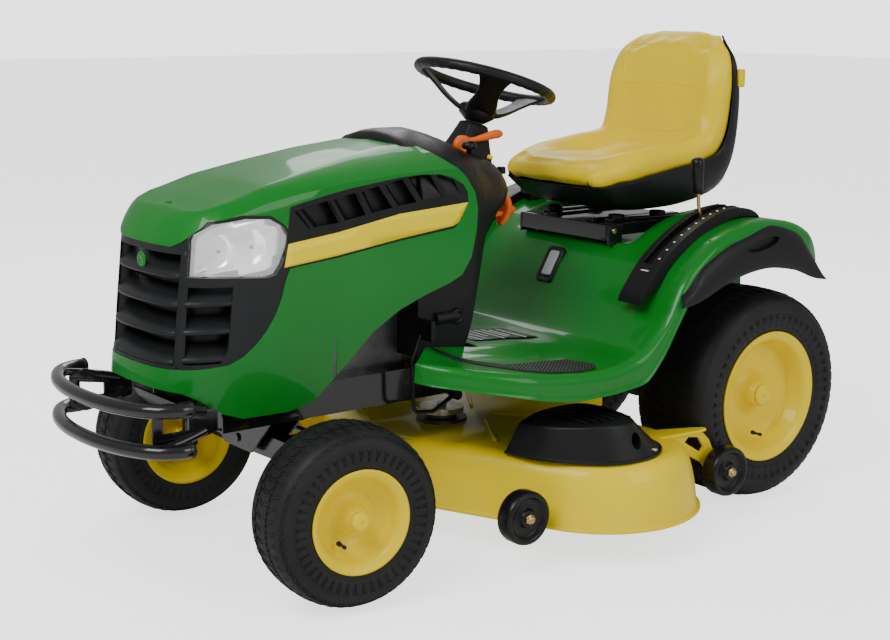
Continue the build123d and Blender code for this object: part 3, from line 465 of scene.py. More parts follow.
def join(name, parts):
    """Several objects as one, each face keeping its material."""
    bm = bmesh.new()
    materials = []
    for part in parts:
        slots = []
        for mat in part.data.materials:
            if mat not in materials:
                materials.append(mat)
            slots.append(materials.index(mat))
        piece = bmesh.new()
        piece.from_mesh(part.data)
        for face in piece.faces:
            face.material_index = slots[face.material_index] if slots else 0
        scratch = bpy.data.meshes.new("scratch")
        piece.to_mesh(scratch)
        piece.free()
        bm.from_mesh(scratch)
        bpy.data.meshes.remove(scratch)
        bpy.data.objects.remove(part)
    mesh = bpy.data.meshes.new(name)
    bm.to_mesh(mesh)
    bm.free()
    for mat in materials:
        mesh.materials.append(mat)
    return linked(name, mesh)


def mirrored(obj, name):
    """A copy of the object across the machine's centre plane."""
    mesh = obj.data.copy()
    plane = 2 * SHIFT[0] / MM
    for v in mesh.vertices:
        v.co.x = plane - v.co.x
    mesh.flip_normals()
    return linked(name, mesh)


def smooth_line(points, per_span=8):
    """A Catmull-Rom curve through the points."""
    ends = [points[0]] + list(points) + [points[-1]]
    line = []
    for a, b, c, d in zip(ends, ends[1:], ends[2:], ends[3:]):
        for i in range(per_span):
            t = i / per_span
            w = (-t + 2 * t * t - t**3, 2 - 5 * t * t + 3 * t**3, t + 4 * t * t - 3 * t**3, t**3 - t * t)
            line.append(tuple(0.5 * (w[0] * p + w[1] * q + w[2] * r + w[3] * s) for p, q, r,
                s in zip(a, b, c, d)))
    return line + [tuple(points[-1])]


def smooth_ring(points, per_span):
    """The same curve through points that go round in a ring."""
    return smooth_line(points + points[:1], per_span)[:-1]


def clamp(t):
    return max(0.0, min(1.0, t))


def ease(t):
    """A soft start and a soft stop as t goes from 0 to 1."""
    t = clamp(t)
    return t * t * (3 - 2 * t)


def along(table, t):
    """Straight-line interpolation in a list of (t, value)."""
    if t <= table[0][0]:
        return table[0][1]
    for (t0, v0), (t1, v1) in zip(table, table[1:]):
        if t <= t1:
            return v0 + (v1 - v0) * (t - t0) / (t1 - t0)
    return table[-1][1]


def use(obj, body, slot, *nodes):
    """Hands a piece to the frame: the body it rides on, a material slot that is not used, the CAD nodes it
    stands for.
    """
    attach(obj, body)
    if nodes:
        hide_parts(*nodes)
    return obj


def once(side, *nodes):
    """The nodes that a pair of pieces stands for, named by the left-hand piece alone."""
    return nodes if side > 0 else ()


# ---------------------------------------------------------------- hood
# The plan as (x, y), lines seen from the side as (y, z), the crease as (y, x) and the flare as (z, share).
HOOD_PLAN = [(0, -838), (60, -835), (112, -826), (146, -811), (172, -784), (190, -745), (199, -695),
    (206, -600), (213, -450), (219, -300), (222, -180), (223, -60)]
HOOD_EAVE = [(-838, 766), (-811, 778), (-784, 803), (-745, 821), (-657, 842), (-556, 864), (-425, 884),
    (-289, 894), (-203, 897), (-60, 899)]
HOOD_CREST = [(-838, 778), (-820, 806), (-790, 830), (-722, 855), (-620, 886), (-500, 911), (-362, 937),
    (-248, 951), (-170, 958), (-60, 962)]
HOOD_CREASE_X = [(-838, 140), (-738, 160), (-632, 155), (-530, 142), (-425, 126), (-300, 108),
    (-200, 98), (-60, 90)]
HOOD_FLARE = [(360, 0.93), (440, 0.965), (520, 0.985), (620, 1.0), (740, 1.0), (900, 0.985)]
HOOD_OUTLINE = [(-900, 380), (-900, 1100), (-224, 1100), (-224, 957), (-190, 944), (-159, 917),
    (-112, 876), (-86, 838), (-78, 800), (-82, 750), (-97, 687), (-124, 648), (-160, 632), (-227, 612),
    (-300, 584), (-373, 540), (-420, 495), (-522, 402), (-550, 392), (-590, 384), (-700, 384),
    (-745, 400), (-800, 436), (-830, 452), (-900, 466)]
GRILLE_EDGE = [(-920, 505), (-800, 503), (-735, 508), (-700, 523), (-670, 547), (-645, 575), (-624, 607),
    (-608, 645), (-598, 681), (-588, 704), (-579, 776), (-600, 802), (-631, 823), (-700, 828),
    (-770, 817), (-800, 790), (-826, 763), (-920, 763)]
LAMP_EDGE = [(-880, 702), (-831, 702), (-720, 696), (-640, 690), (-620, 694), (-606, 712), (-592, 745),
    (-584, 770), (-600, 797), (-631, 816), (-690, 820), (-762, 812), (-800, 788), (-828, 757),
    (-880, 757)]
VENT_EDGE = [(-592, 779), (-585, 838), (-566, 843), (-500, 857), (-436, 869), (-300, 886), (-240, 889),
    (-186, 886), (-150, 876), (-121, 859), (-109, 842), (-106, 818), (-135, 770), (-148, 759),
    (-299, 743), (-463, 719), (-601, 704)]
STRIPE_EDGE = [(-590, 759), (-463, 775), (-300, 804), (-106, 817), (-135, 772), (-150, 765), (-299, 748),
    (-463, 724), (-601, 708)]


NOSE_START, NOSE_DEPTH = -700, 130  # where the sides begin to turn into the nose, and how long that takes
NOSE_BROW, NOSE_SLOPE = 765, 0.125  # below this height the nose leans out forwards, by this much per mm
HOOD_FOOT, SIDE_STEPS = 360, 21


def nose_share(y):
    """0 along the hood's sides, 1 at the front of its nose."""
    return clamp((NOSE_START - y) / NOSE_DEPTH)


def nose_lean(y, z):
    """How far forward of the hood's plan the nose's skin is at height z."""
    return (NOSE_BROW - z) * NOSE_SLOPE * nose_share(y) if z < NOSE_BROW else 0


def hood_section(x, y):
    """One line of the hood's skin, from its bottom edge up the side and over to the centre plane."""
    eave = along(HOOD_EAVE, y)
    front = nose_share(y)
    line = []
    for i in range(SIDE_STEPS + 1):
        z = HOOD_FOOT + (eave - HOOD_FOOT) * i / SIDE_STEPS
        line.append((x * along(HOOD_FLARE, z), y - nose_lean(y, z), z))
    k = along(HOOD_FLARE, eave)
    crease = min(along(HOOD_CREASE_X, y), 0.86 * x)
    spine = min(y + 34 * front * (1 - x / 200) + 46 * front, -60)
    crest = along(HOOD_CREST, spine)
    for t in (0.18, 0.42, 0.7, 0.9, 1.0):
        px = x * k + (crease - x * k) * t
        py = y + (spine - y) * t * 0.8
        line.append((px, py, eave + (crest - 3 - eave) * (1 - (1 - t) ** 1.7)))
    for t in (0.12, 0.4, 0.7, 1.0):
        line.append((crease * (1 - t), spine - (spine - y) * 0.2 * (1 - t), crest - 3 + 5 * t))
    return line


def hood_skin():
    """The whole hood as a skin without thickness, from which its pieces are cut."""
    plan = smooth_line(HOOD_PLAN, 6)
    half = [hood_section(x, y) for x, y in plan]
    rows = [[(-x, y, z) for x, y, z in line] for line in reversed(half[1:])] + half
    skin = loft("hood_skin", rows, None)
    bm = bmesh.new()
    bm.from_mesh(skin.data)
    bmesh.ops.remove_doubles(bm, verts=bm.verts, dist=0.0003)
    bmesh.ops.recalc_face_normals(bm, faces=bm.faces)
    bm.to_mesh(skin.data)
    bm.free()
    return skin


def skin_copy(skin, name, inset, wall):
    """The hood's skin moved in by inset mm, as a wall of the given thickness."""
    obj = skin.copy()
    obj.data = skin.data.copy()
    obj.name = name
    bpy.context.scene.collection.objects.link(obj)
    middle = SHIFT[0] / MM
    outward = sum(f.normal.x * (f.center.x - middle) for f in obj.data.polygons)
    modify(obj, "SOLIDIFY", thickness=wall / MM, offset=1 if outward < 0 else -1)
    apply_modifiers(obj)
    if inset:
        for v in obj.data.vertices:
            side = Vector((v.co.x - middle, max(-0.3, min(0.0, v.co.y + 0.6)), 0))
            if side.length > 0.02:
                v.co -= side.normalized() * inset / MM
            v.co.z -= 0.4 * inset / MM if v.co.z > 0.78 else 0
    return obj


def hood_tool(outline):
    """A cutting prism that goes right across the hood."""
    return prism(outline, -300, 300)


def make_hood():
    skin = hood_skin()
    shell = skin_copy(skin, "hood_panel", 0, 3)
    cut(shell, hood_tool(HOOD_OUTLINE), "INTERSECT")
    cut(shell, hood_tool(GRILLE_EDGE))
    for side in (1, -1):
        cut(shell, prism(VENT_EDGE, side * 120, side * 300))
    dress(cleaned(shell, 0.8), "green_paint")
    bevelled(shell, 1.0, 2, 50)
    use(shell, "hood", "green_paint", "hood_shell")
    make_grille(skin)
    make_lamps(skin)
    make_vents(skin)
    bpy.data.objects.remove(skin)


SLAT_LIPS = (515, 577, 639, 700)
SIDE_SLAT_LIPS = (520, 580, 640)


def skin_point(x, y, z, inset):
    """A point on the hood's side or nose at height z, moved in by inset mm."""
    side = Vector((x / 200, min(0.0, (y + 690) / 150), 0)).normalized()
    return (x * along(HOOD_FLARE, z) - side.x * inset, y - nose_lean(y, z) - side.y * inset, z)


def slat(name, plan, lip, rise, depth):
    """A grille louvre: a rounded lip on the skin, with a blade that runs back and up behind it."""
    shape = [(1, -4), (-1, 0), (0, 5), (4, 8), (depth, rise), (depth + 3, rise - 3), (8, 1), (5, -4)]
    rows = [[skin_point(x, y, lip + z, 3 + inset) for inset, z in shape] for x, y in plan]
    return closed_loft(name, rows, "grey_plastic")


def make_grille(skin):
    frame_piece = skin_copy(skin, "grille_frame", 2, 5)
    cut(frame_piece, hood_tool(moved(GRILLE_EDGE, 3, 0)), "INTERSECT")
    for side in (1, -1):
        cut(frame_piece, prism(moved(LAMP_EDGE, -1, 0), side * 152, side * 300))
        edge = [(-920, 513), (-752, 513), (-735, 540), (-722, 677), (-920, 683)]
        cut(frame_piece, prism(edge, side * 151, side * 300))
    cut(frame_piece, prism(rect(-139, 139, 512, 748), -950, -760, "y"))
    dress(frame_piece, "grey_plastic")
    parts = [bevelled(frame_piece, 1.5, 2, 40)]
    plan = smooth_line(HOOD_PLAN, 6)
    middle = [(x, y) for x, y in plan if x <= 143]
    for i, lip in enumerate(SLAT_LIPS):
        parts.append(slat(f"slat_{i}", both_sides(middle), lip, 40, 34))
    corner = [(x, y) for x, y in plan if x >= 146 and y <= -715]
    for side in (1, -1):
        for i, lip in enumerate(SIDE_SLAT_LIPS):
            parts.append(slat(f"side_slat_{side}_{i}", [(side * x, y) for x, y in corner], lip, 34, 26))
        parts.append(post(f"post_{side}", side))
    use(join("grille_louvres", parts), "hood", "grey_plastic", "grille")
    screen = skin_copy(skin, "grille_screen", 46, 3)
    behind = [(-920, 490), (-660, 490), (-630, 560), (-630, 790), (-920, 790)]
    cut(screen, hood_tool(behind), "INTERSECT")
    use(dress(screen, "black_plastic"), "hood", "black_plastic")
    disc = [(0, 0.1), (0, 17), (2, 19), (4, 19), (6, 16), (7, 0.1)]
    badge = lathe("badge", disc, "green_paint", (0, -833, 722), (0, -1, 0))
    use(badge, "hood", "green_paint")


def post(name, side):
    """The upright between the grille's middle and its corner."""
    shape = [(0, 146), (0, 152), (10, 153), (36, 150), (36, 145), (10, 143)]
    rows = []
    for z in range(505, 760, 10):
        rows.append([skin_point(side * x, -811 + (x - 146) * 1.04, z, 1 + inset) for inset, x in shape])
    return closed_loft(name, rows, "grey_plastic")


LAMPS = ((166, -742, 752, 33), (176, -668, 756,
    36))  # x, y, z and radius of the left side's two reflectors


def make_lamps(skin):
    lens = skin_copy(skin, "lamp_lenses", 1.2, 2.5)
    cut(lens, hood_tool(LAMP_EDGE), "INTERSECT")
    cut(lens, prism(rect(-153, 153, 600, 900), -950, -500, "y"))
    use(dress(lens, "lens"), "hood", "lamp", "headlights")
    bowl = skin_copy(skin, "lamp_bowls", 24, 3)
    cut(bowl, hood_tool(moved(LAMP_EDGE, 4, 0)), "INTERSECT")
    cut(bowl, prism(rect(-135, 135, 600, 900), -950, -500, "y"))
    parts = [dress(bowl, "chrome")]
    bulb = [(-18, 0.1), (-18, 5), (-4, 6), (2, 4), (4, 0.1)]
    for side in (1, -1):
        aim = Vector((side * 0.62, -0.78, 0.05)).normalized()
        for x, y, z, r in LAMPS:
            dish = [(-20, 0.2), (-19, 0.35 * r), (-12, 0.7 * r), (0, r)]
            dish += [(3, r + 3), (-2, r + 3), (-15, 0.75 * r), (-23, 0.2)]
            parts.append(lathe("dish", dish, "chrome", (side * x, y, z), aim, 40))
            parts.append(lathe("bulb", bulb, "window", (side * x, y, z), aim, 24))
    use(join("lamp_reflectors", parts), "hood", "lamp")


# Each bar of the side vent: the y and z of its top, then of its bottom.
VENT_RIBS = [(-574, 829, -539, 789), (-489, 844, -460, 798), (-417, 857, -390, 810),
    (-355, 868, -319, 821)]
VENT_RIBS += [(-291, 880, -252, 829), (-216, 888, -180, 836), (-146, 868, -128, 838)]


def make_vents(skin):
    for side, name in SIDES:
        panel = skin_copy(skin, f"vent_{name}", 1.5, 5)
        cut(panel, prism(VENT_EDGE, side * 100, side * 300), "INTERSECT")
        for (y0, z0, y1, z1), (y2, z2, y3, z3) in zip(VENT_RIBS, VENT_RIBS[1:]):
            hole = [(y0 + 14, z0 + 4), (y2 - 2, z2 + 2), (y3 - 2, z3 - 2), (y1 + 14, z1 + 1)]
            cut(panel, prism(hole, side * 100, side * 300))
        parts = [bevelled(dress(panel, "satin_plastic"), 1.2, 2, 40)]
        for i, (y0, z0, y1, z1) in enumerate(VENT_RIBS[:-1]):
            rows = []
            for inset, shift in ((3, 2), (5, 14), (22, 34), (24, 31), (8, 6)):
                ends = ((y0, z0), (y1, z1))
                rows.append([(side * (213 + 0.012 * (y + 560) - inset), y + shift, z) for y, z in ends])
            parts.append(loft(f"rib_{i}", rows, "satin_plastic", loop=True))
        use(join(f"side_vent_{name}", parts), "hood", "black_plastic", *once(side, "side_vents"))
        back = skin_copy(skin, f"vent_back_{name}", 26, 3)
        cut(back, prism(moved(VENT_EDGE, 0, 2), side * 80, side * 300), "INTERSECT")
        use(dress(back, "black_plastic"), "hood", "black_plastic")
        stripe = skin_copy(skin, f"stripe_{name}", 0.2, 1.6)
        cut(stripe, prism(STRIPE_EDGE, side * 100, side * 300), "INTERSECT")
        use(dress(stripe, "stripe"), "hood", "yellow_paint")


# ---------------------------------------------------------------- wheels
def profile_walk(points, distance):
    """The point, and the outward normal, at an arc length along a (lateral, radius) line."""
    for (x0, r0), (x1, r1) in zip(points, points[1:]):
        step = hypot(x1 - x0, r1 - r0)
        if distance <= step:
            t = distance / step
            return (x0 + (x1 - x0) * t, r0 + (r1 - r0) * t), ((r1 - r0) / step, -(x1 - x0) / step)
        distance -= step
    return points[-1], ((r1 - r0) / step, -(x1 - x0) / step)


def tread_block(half, outline, turn, height, radius):
    """One raised block: an outline of (arc from the crown, round distance), stood on the carcass."""
    ring = []
    middle = (sum(a for a, _ in outline) / len(outline), sum(c for _, c in outline) / len(outline))
    for shrink, h in ((1.0, -1.5), (0.97, height * 0.75), (0.86, height)):
        for a, c in outline:
            a, c = middle[0] + (a - middle[0]) * shrink, middle[1] + (c - middle[1]) * shrink
            (x, r), (nx, nr) = profile_walk(half, abs(a))
            sign = 1 if a >= 0 else -1
            angle = turn + c / radius
            ring.append((sign * (x + nx * h), (r + nr * h) * cos(angle), (r + nr * h) * sin(angle)))
    return ring


def tread(half, radius, width, pitches, height):
    """The turf tread: three rows of chevron blocks, two rows of shoulder blocks and side lugs."""
    points, faces = [], []
    pitch = 2 * pi * radius / pitches
    crown = width * 0.47
    rows = []
    for i, (a0, a1) in enumerate(((-0.30, 0.30), (0.36, 0.92), (-0.92, -0.36))):
        low, high = a0 * crown, a1 * crown
        mid = (low + high) / 2
        bend = pitch * 0.34 * (1 if i == 0 else -1)
        length = pitch * 0.74
        block = [(low, 0), (mid, bend), (high, 0), (high, length), (mid, length + bend), (low, length)]
        rows.append((block, 0.5 * i, 1.0))
    for side in (1, -1):
        low, high, end = side * crown * 0.98, side * crown * 1.34, side * crown * 1.62
        rows.append(([(low, 0), (high, 4), (high, pitch * 0.66), (low, pitch * 0.72)], 0.25, 0.9))
        rows.append(([(high * 1.03, 6), (end, 9), (end, pitch * 0.42), (high * 1.03, pitch * 0.52)],
            0.25, 0.5))
    for block, shift, scale in rows:
        for i in range(pitches):
            start = len(points)
            points += tread_block(half, block, (i + shift) * 2 * pi / pitches, height * scale, radius)
            n = len(block)
            for level in (0, 1):
                for j in range(n):
                    k = (j + 1) % n
                    a, b = start + level * n, start + (level + 1) * n
                    faces.append((a + j, a + k, b + k, b + j))
            faces.append(tuple(start + 2 * n + j for j in range(n)))
    return points, faces


def tyre(radius, width, rim_r, flange, pitches, height):
    """A turf tyre about the x axis at the origin, as points and faces."""
    w, top = width / 2, radius - height
    half = [(0, top), (w * 0.3, top - 1), (w * 0.6, top - 4), (w * 0.8, top - 11), (w * 0.93, top - 25),
        (w * 0.985, top - 42)]
    belly = rim_r + (radius - rim_r) * 0.42
    half += [(w - 1.5, belly), (w * 0.97, rim_r + 22), (w * 0.93, rim_r + 12), (flange + 1, rim_r + 4),
        (flange - 4, rim_r + 1)]
    half = smooth_line(half, 5)
    inner = [(flange - 4, rim_r - 6), (flange - 20, rim_r - 8), (0, rim_r - 9)]
    side = half + inner
    section = [(-x, r) for x, r in reversed(side[:-1])] + side[1:]
    points, faces = turn_profile(section, 120)
    more, more_faces = tread(half, radius, width, pitches, height)
    base = len(points)
    return points + more, faces + [tuple(base + v for v in f) for f in more_faces]


def wheel_place(side, x, y, z, steer):
    """The turn and the centre of a wheel whose outer face looks along +x before placing."""
    turn = Matrix.Rotation(steer, 3, "Z") @ Matrix.Rotation(0 if side > 0 else pi, 3, "Z")
    pin = Vector((side * KINGPIN_X, y, z))
    if steer:
        return turn, pin + Matrix.Rotation(steer, 3, "Z") @ Vector((side * (x - KINGPIN_X), 0, 0))
    return turn, Vector((side * x, y, z))


def placed(name, points, faces, place, material):
    """A wheel's piece, made about the origin, at the wheel's place."""
    turn, centre = place
    return mesh_object(name, [centre + turn @ Vector(p) for p in points], faces, material)


def rim_section(rim_r, bead_r, flange, disc, hub_r, hub_out):
    """A pressed wheel's section as a closed line of (along, radius), rolled flanges included."""
    well = bead_r - 15
    outer = [(flange - 34, well), (flange - 26, bead_r - 3), (flange - 9, bead_r - 2),
        (flange - 4, rim_r - 5), (flange, rim_r - 1)]
    outer += [(flange + 4, rim_r), (flange + 6, rim_r - 3), (flange + 4, rim_r - 7),
        (flange, bead_r + 2), (flange - 6, bead_r - 8)]
    outer += [(flange - 22, bead_r - 9), (flange - 32, well - 5), (disc + 16, well - 6),
        (disc + 7, well - 12), (disc + 2, well - 26)]
    outer += [(disc - 4, hub_r + 34), (disc - 2, hub_r + 22), (disc + 8, hub_r + 12),
        (disc + 16, hub_r + 5), (hub_out - 3, hub_r + 2)]
    outer += [(hub_out, hub_r - 2), (hub_out, 13.5), (-flange * 0.7, 13.5), (-flange * 0.7, hub_r),
        (disc - 8, hub_r), (disc - 10, hub_r + 30)]
    outer += [(disc - 4, well - 30), (disc, well - 6), (-flange + 36, well - 5),
        (-flange + 22, bead_r - 9), (-flange + 4, bead_r - 8)]
    outer += [(-flange, rim_r - 6), (-flange - 4, rim_r), (-flange + 2, rim_r - 1),
        (-flange + 6, bead_r - 3), (-flange + 30, bead_r - 3)]
    outer += [(-flange + 40, well)]
    return outer


def turn_profile(profile, steps=96):
    """The points and faces of a closed (along, radius) line turned about the x axis."""
    points = [(t, r * cos(a), r * sin(a)) for a in around(steps) for t, r in profile]
    return points, grid_faces(steps, len(profile), True, True)


def make_wheel(label, kind, side, body, nodes):
    front = kind == "front"
    if front:
        place = wheel_place(side, FRONT_WHEEL_X, FRONT_AXLE_Y, FRONT_AXLE_Z, REST_STEER)
        size = dict(radius=203, width=165, rim_r=113, flange=76, pitches=46, height=6)
        rim = rim_section(115, 101, 75, 26, 22, 62)
        cap = [(50, 0.1), (50, 20), (76, 21), (80, 19), (83, 13), (85, 0.1)]
        valve = (44, 62)
    else:
        place = wheel_place(side, 350, REAR_AXLE_Y, REAR_AXLE_Z, 0)
        size = dict(radius=280, width=241, rim_r=168, flange=108, pitches=52, height=8)
        rim = rim_section(170, 152, 107, 44, 31, 84)
        cap = [(70, 0.1), (70, 24), (86, 24), (88, 28), (92, 28), (95, 24), (97, 12), (97, 0.1)]
        valve = (66, 104)
    points, faces = tyre(**size)
    use(placed(f"tyre_{kind}_{label}", points, faces, place, "tyre"), body, "tyre", nodes[1])
    parts = [placed("rim", *turn_profile(rim), place, "yellow_paint")]
    parts.append(placed("cap", *turn_profile(cap, 48), place, "yellow_paint"))
    a = radians(-128 if front else -95)
    stem_at = Vector((valve[0], valve[1] * cos(a), valve[1] * sin(a)))
    stem = [(0, 0.1), (0, 5.5), (8, 5), (10, 3.4), (24, 3.2), (25, 4.2), (31, 4.2), (32, 0.1)]
    stem_points, stem_faces = turn_profile(stem, 16)
    stem_points = [Vector(p) + stem_at for p in stem_points]
    parts.append(placed("valve", stem_points, stem_faces, place, "tyre"))
    use(join(f"rim_{kind}_{label}", parts), body, "yellow_paint", nodes[0])


def make_wheels():
    for side, label in SIDES:
        for kind in ("front", "rear"):
            nodes = (f"{kind}_rim_{label}", f"{kind}_tyre_{label}")
            make_wheel(label, kind, side, f"{kind}_wheel_{label}", nodes)


# ---------------------------------------------------------------- cowl, column and hand controls
# Half sections of the cowl, from the crest down the left side: (y, [(x, z), ...]).
COWL = [
    (-234, [(0, 955), (60, 953), (118, 944), (168, 918), (198, 884), (211, 843), (213, 775), (210, 700),
        (197, 640), (196, 456)]),
    (-222, [(0, 973), (60, 969), (116, 955), (166, 922), (200, 886), (213, 845), (215, 775), (211, 700),
        (197, 640), (196, 456)]),
    (-180, [(0, 979), (60, 974), (120, 955), (172, 921), (205, 882), (217, 842), (217, 775), (212, 700),
        (197, 640), (196, 456)]),
    (-142, [(0, 979), (60, 973), (120, 951), (174, 914), (208, 876), (219, 838), (219, 770), (213, 695),
        (198, 640), (196, 456)]),
    (-112, [(0, 972), (60, 966), (120, 944), (174, 907), (209, 868), (220, 832), (220, 765), (213, 690),
        (198, 640), (196, 460)]),
    (-90, [(0, 964), (60, 958), (120, 936), (173, 899), (208, 861), (220, 825), (220, 762), (212, 690),
        (199, 640), (196, 476)]),
    (-72, [(0, 958), (60, 952), (120, 930), (172, 893), (206, 855), (218, 820), (218, 760), (211, 695),
        (200, 640), (197, 530)]),
    (-58, [(0, 952), (60, 946), (120, 924), (170, 888), (203, 850), (215, 816), (214, 760), (208, 705),
        (201, 655), (198, 602)]),
    (-45, [(0, 947), (60, 941), (120, 920), (168, 884), (200, 846), (211, 812), (210, 762), (205, 722),
        (201, 695), (198, 672)]),
    (-36, [(0, 944), (60, 938), (119, 917), (166, 881), (197, 843), (207, 810), (206, 768), (203, 745),
        (200, 730), (197, 720)]),
    (-15, [(0, 934), (60, 928), (117, 907), (162, 872), (192, 836), (201, 806), (200, 782), (197, 768),
        (193, 758), (188, 752)]),
    (7, [(0, 924), (60, 919), (115, 899), (158, 866), (186, 832), (194, 806), (193, 790), (190, 783),
        (186, 779), (180, 776)]),
    (31, [(0, 914), (58, 910), (112, 893), (152, 863), (177, 833), (184, 811), (183, 799), (180, 794),
        (176, 791), (168, 788)]),
    (54, [(0, 906), (56, 903), (106, 888), (142, 863), (163, 838), (169, 820), (168, 812), (165, 807),
        (160, 804), (150, 802)]),
    (73, [(0, 898), (52, 895), (96, 884), (126, 864), (144, 843), (149, 830), (148, 824), (145, 820),
        (140, 817), (130, 815)]),
    (88, [(0, 886), (46, 884), (82, 876), (106, 861), (120, 846), (124, 837), (123, 833), (120, 830),
        (115, 828), (105, 827)]),
    (97, [(0, 868), (36, 867), (62, 862), (80, 854), (90, 847), (93, 842), (92, 840), (90, 838),
        (86, 837), (76, 836)]),
]
COLUMN = [(456, 112, -20), (560, 112, -4), (650, 112, 20), (700, 112, 44), (760, 111, 84),
    (800, 108, 103), (832, 98, 106)]
WHEEL_CENTRE, COLUMN_TILT = Vector((0, 120, 1080)), radians(17.8)


def ring_of(half_x, low, high, corner, steps=5):
    """A rounded rectangle as (x, other) points: half_x each side of 0, from low to high."""
    points = []
    for cx, cy, start in ((half_x, high, 0), (-half_x, high, 90), (-half_x, low, 180),
        (half_x, low, 270)):
        ox = cx - corner if cx > 0 else cx + corner
        oy = cy - corner if cy == high else cy + corner
        for i in range(steps):
            a = radians(start + 90 * i / (steps - 1))
            points.append((ox + corner * cos(a), oy + corner * sin(a)))
    return points


def on_column(x, forward, down):
    """A point beside the steering axis: down mm below the wheel's centre, forward mm across the axis."""
    s, c = sin(COLUMN_TILT), cos(COLUMN_TILT)
    return (x, WHEEL_CENTRE.y - down * s + forward * c, WHEEL_CENTRE.z - down * c - forward * s)


def make_cowl():
    rows = []
    table = [[y] + [c for p in half for c in p] for y, half in COWL]
    for line in smooth_line(table, 3):
        y, flat = line[0], line[1:]
        rows.append(both_sides([(flat[i], y, flat[i + 1]) for i in range(0, len(flat), 2)]))
    parts = [bevelled(closed_loft("cowl", rows, "black_plastic"), 2, 2, 50)]
    rings = []
    for z, half, rear in smooth_line(COLUMN, 4):
        rings.append([(x, y, z) for x, y in ring_of(half, -180, rear, 26)])
    parts.append(closed_loft("column", rings, "black_plastic"))
    cover = []
    stations = ((204, 47, 60), (196, 46, 58), (150, 36, 42), (118, 29, 33), (110, 27, 31), (107, 22, 26))
    for down, half, reach in stations:
        cover.append([on_column(x, v, down) for x, v in ring_of(half, -reach, reach, 12)])
    parts.append(closed_loft("column_cover", cover, "black_plastic"))
    boss = [(-6, 0.2), (-6, 19), (5, 19), (8, 16), (8, 11), (4, 9), (4, 0.2)]
    parts.append(lathe("boss", boss, "black_plastic", (198, -121, 545), (1, 0, 0), 32))
    parts.append(pipe("boss_tube", [(196, -121, 545), (196, -185, 545)], 15, "black_plastic"))
    parts.append(block("ignition", 78, 96, 96, 112, 858, 876, "black_plastic"))
    use(join("dash_cowl", parts), "frame", "black_plastic", "dash_pedestal")
    knob = [(0, 0.1), (0, 7), (8, 7), (10, 5), (10, 0.1)]
    use(lathe("key_knob", knob, "stripe", (92, 62, 897), (0, 0.3, 1), 24), "frame", "yellow_paint")


WHEEL_RADIUS, RIM_RADIUS, FINGER_GRIPS = 168, 13.5, 36


def make_steering_wheel():
    parts = []
    rows = []
    for a in around(120):
        row = []
        for b in around(18):
            grip = 1 + (0.05 * cos(FINGER_GRIPS * a) if sin(b) < 0.2 else 0)
            radius = WHEEL_RADIUS + RIM_RADIUS * grip * cos(b)
            up = RIM_RADIUS * grip * sin(b)
            row.append(on_column(radius * cos(a), radius * sin(a), -up))
        rows.append(row)
    parts.append(loft("rim", rows, "black_plastic", closed=True, loop=True))
    # A spoke from the rim in: the radius, mm below the rim's plane, half width and thickness.
    stations = [(168, 4, 62, 8), (158, 10, 50, 8), (142, 22, 38, 8), (118, 40, 30, 8), (92, 58, 30, 9),
        (64, 74, 36, 10), (36, 86, 38, 12), (6, 90, 36, 12)]
    for angle in (90, 210, 330):
        a = radians(angle)
        rings = []
        for radius, down, half, wall in smooth_line(stations, 3):
            ring = []
            for u, v in ring_of(half, -wall / 2, wall / 2, wall * 0.45, 3):
                sag = 10 * (u / half) ** 2
                x = radius * cos(a) - u * sin(a)
                y = radius * sin(a) + u * cos(a)
                ring.append(on_column(x, y, down - sag + v))
            rings.append(ring)
        parts.append(closed_loft(f"spoke_{angle}", rings, "black_plastic"))
    hub = [(58, 0.1), (58, 22), (62, 40), (72, 50), (88, 44), (101, 28), (104, 24), (104, 10.5)]
    rows = [[on_column(r * cos(a), r * sin(a), d) for d, r in hub] for a in around(48)]
    parts.append(loft("hub", rows, "black_plastic", loop=True))
    use(join("steering_wheel_rim", parts), "steering", "black_plastic", "steering_wheel")


def bar(name, stations, material):
    """A soft bar through stations of (x, y, z, half width across x, half height)."""
    rings = []
    line = smooth_line(stations, 4)
    for i, (x, y, z, half, tall) in enumerate(line):
        x0, y0, z0 = line[max(i - 1, 0)][:3]
        x1, y1, z1 = line[min(i + 1, len(line) - 1)][:3]
        run = Vector((x1 - x0, y1 - y0, z1 - z0)).normalized()
        up = Vector((1, 0, 0)).cross(run).normalized()
        ring = ring_of(half, -tall, tall, min(half, tall) * 0.9, 4)
        rings.append([Vector((x, y, z)) + Vector((1, 0, 0)) * u + up * v for u, v in ring])
    return closed_loft(name, rings, material)


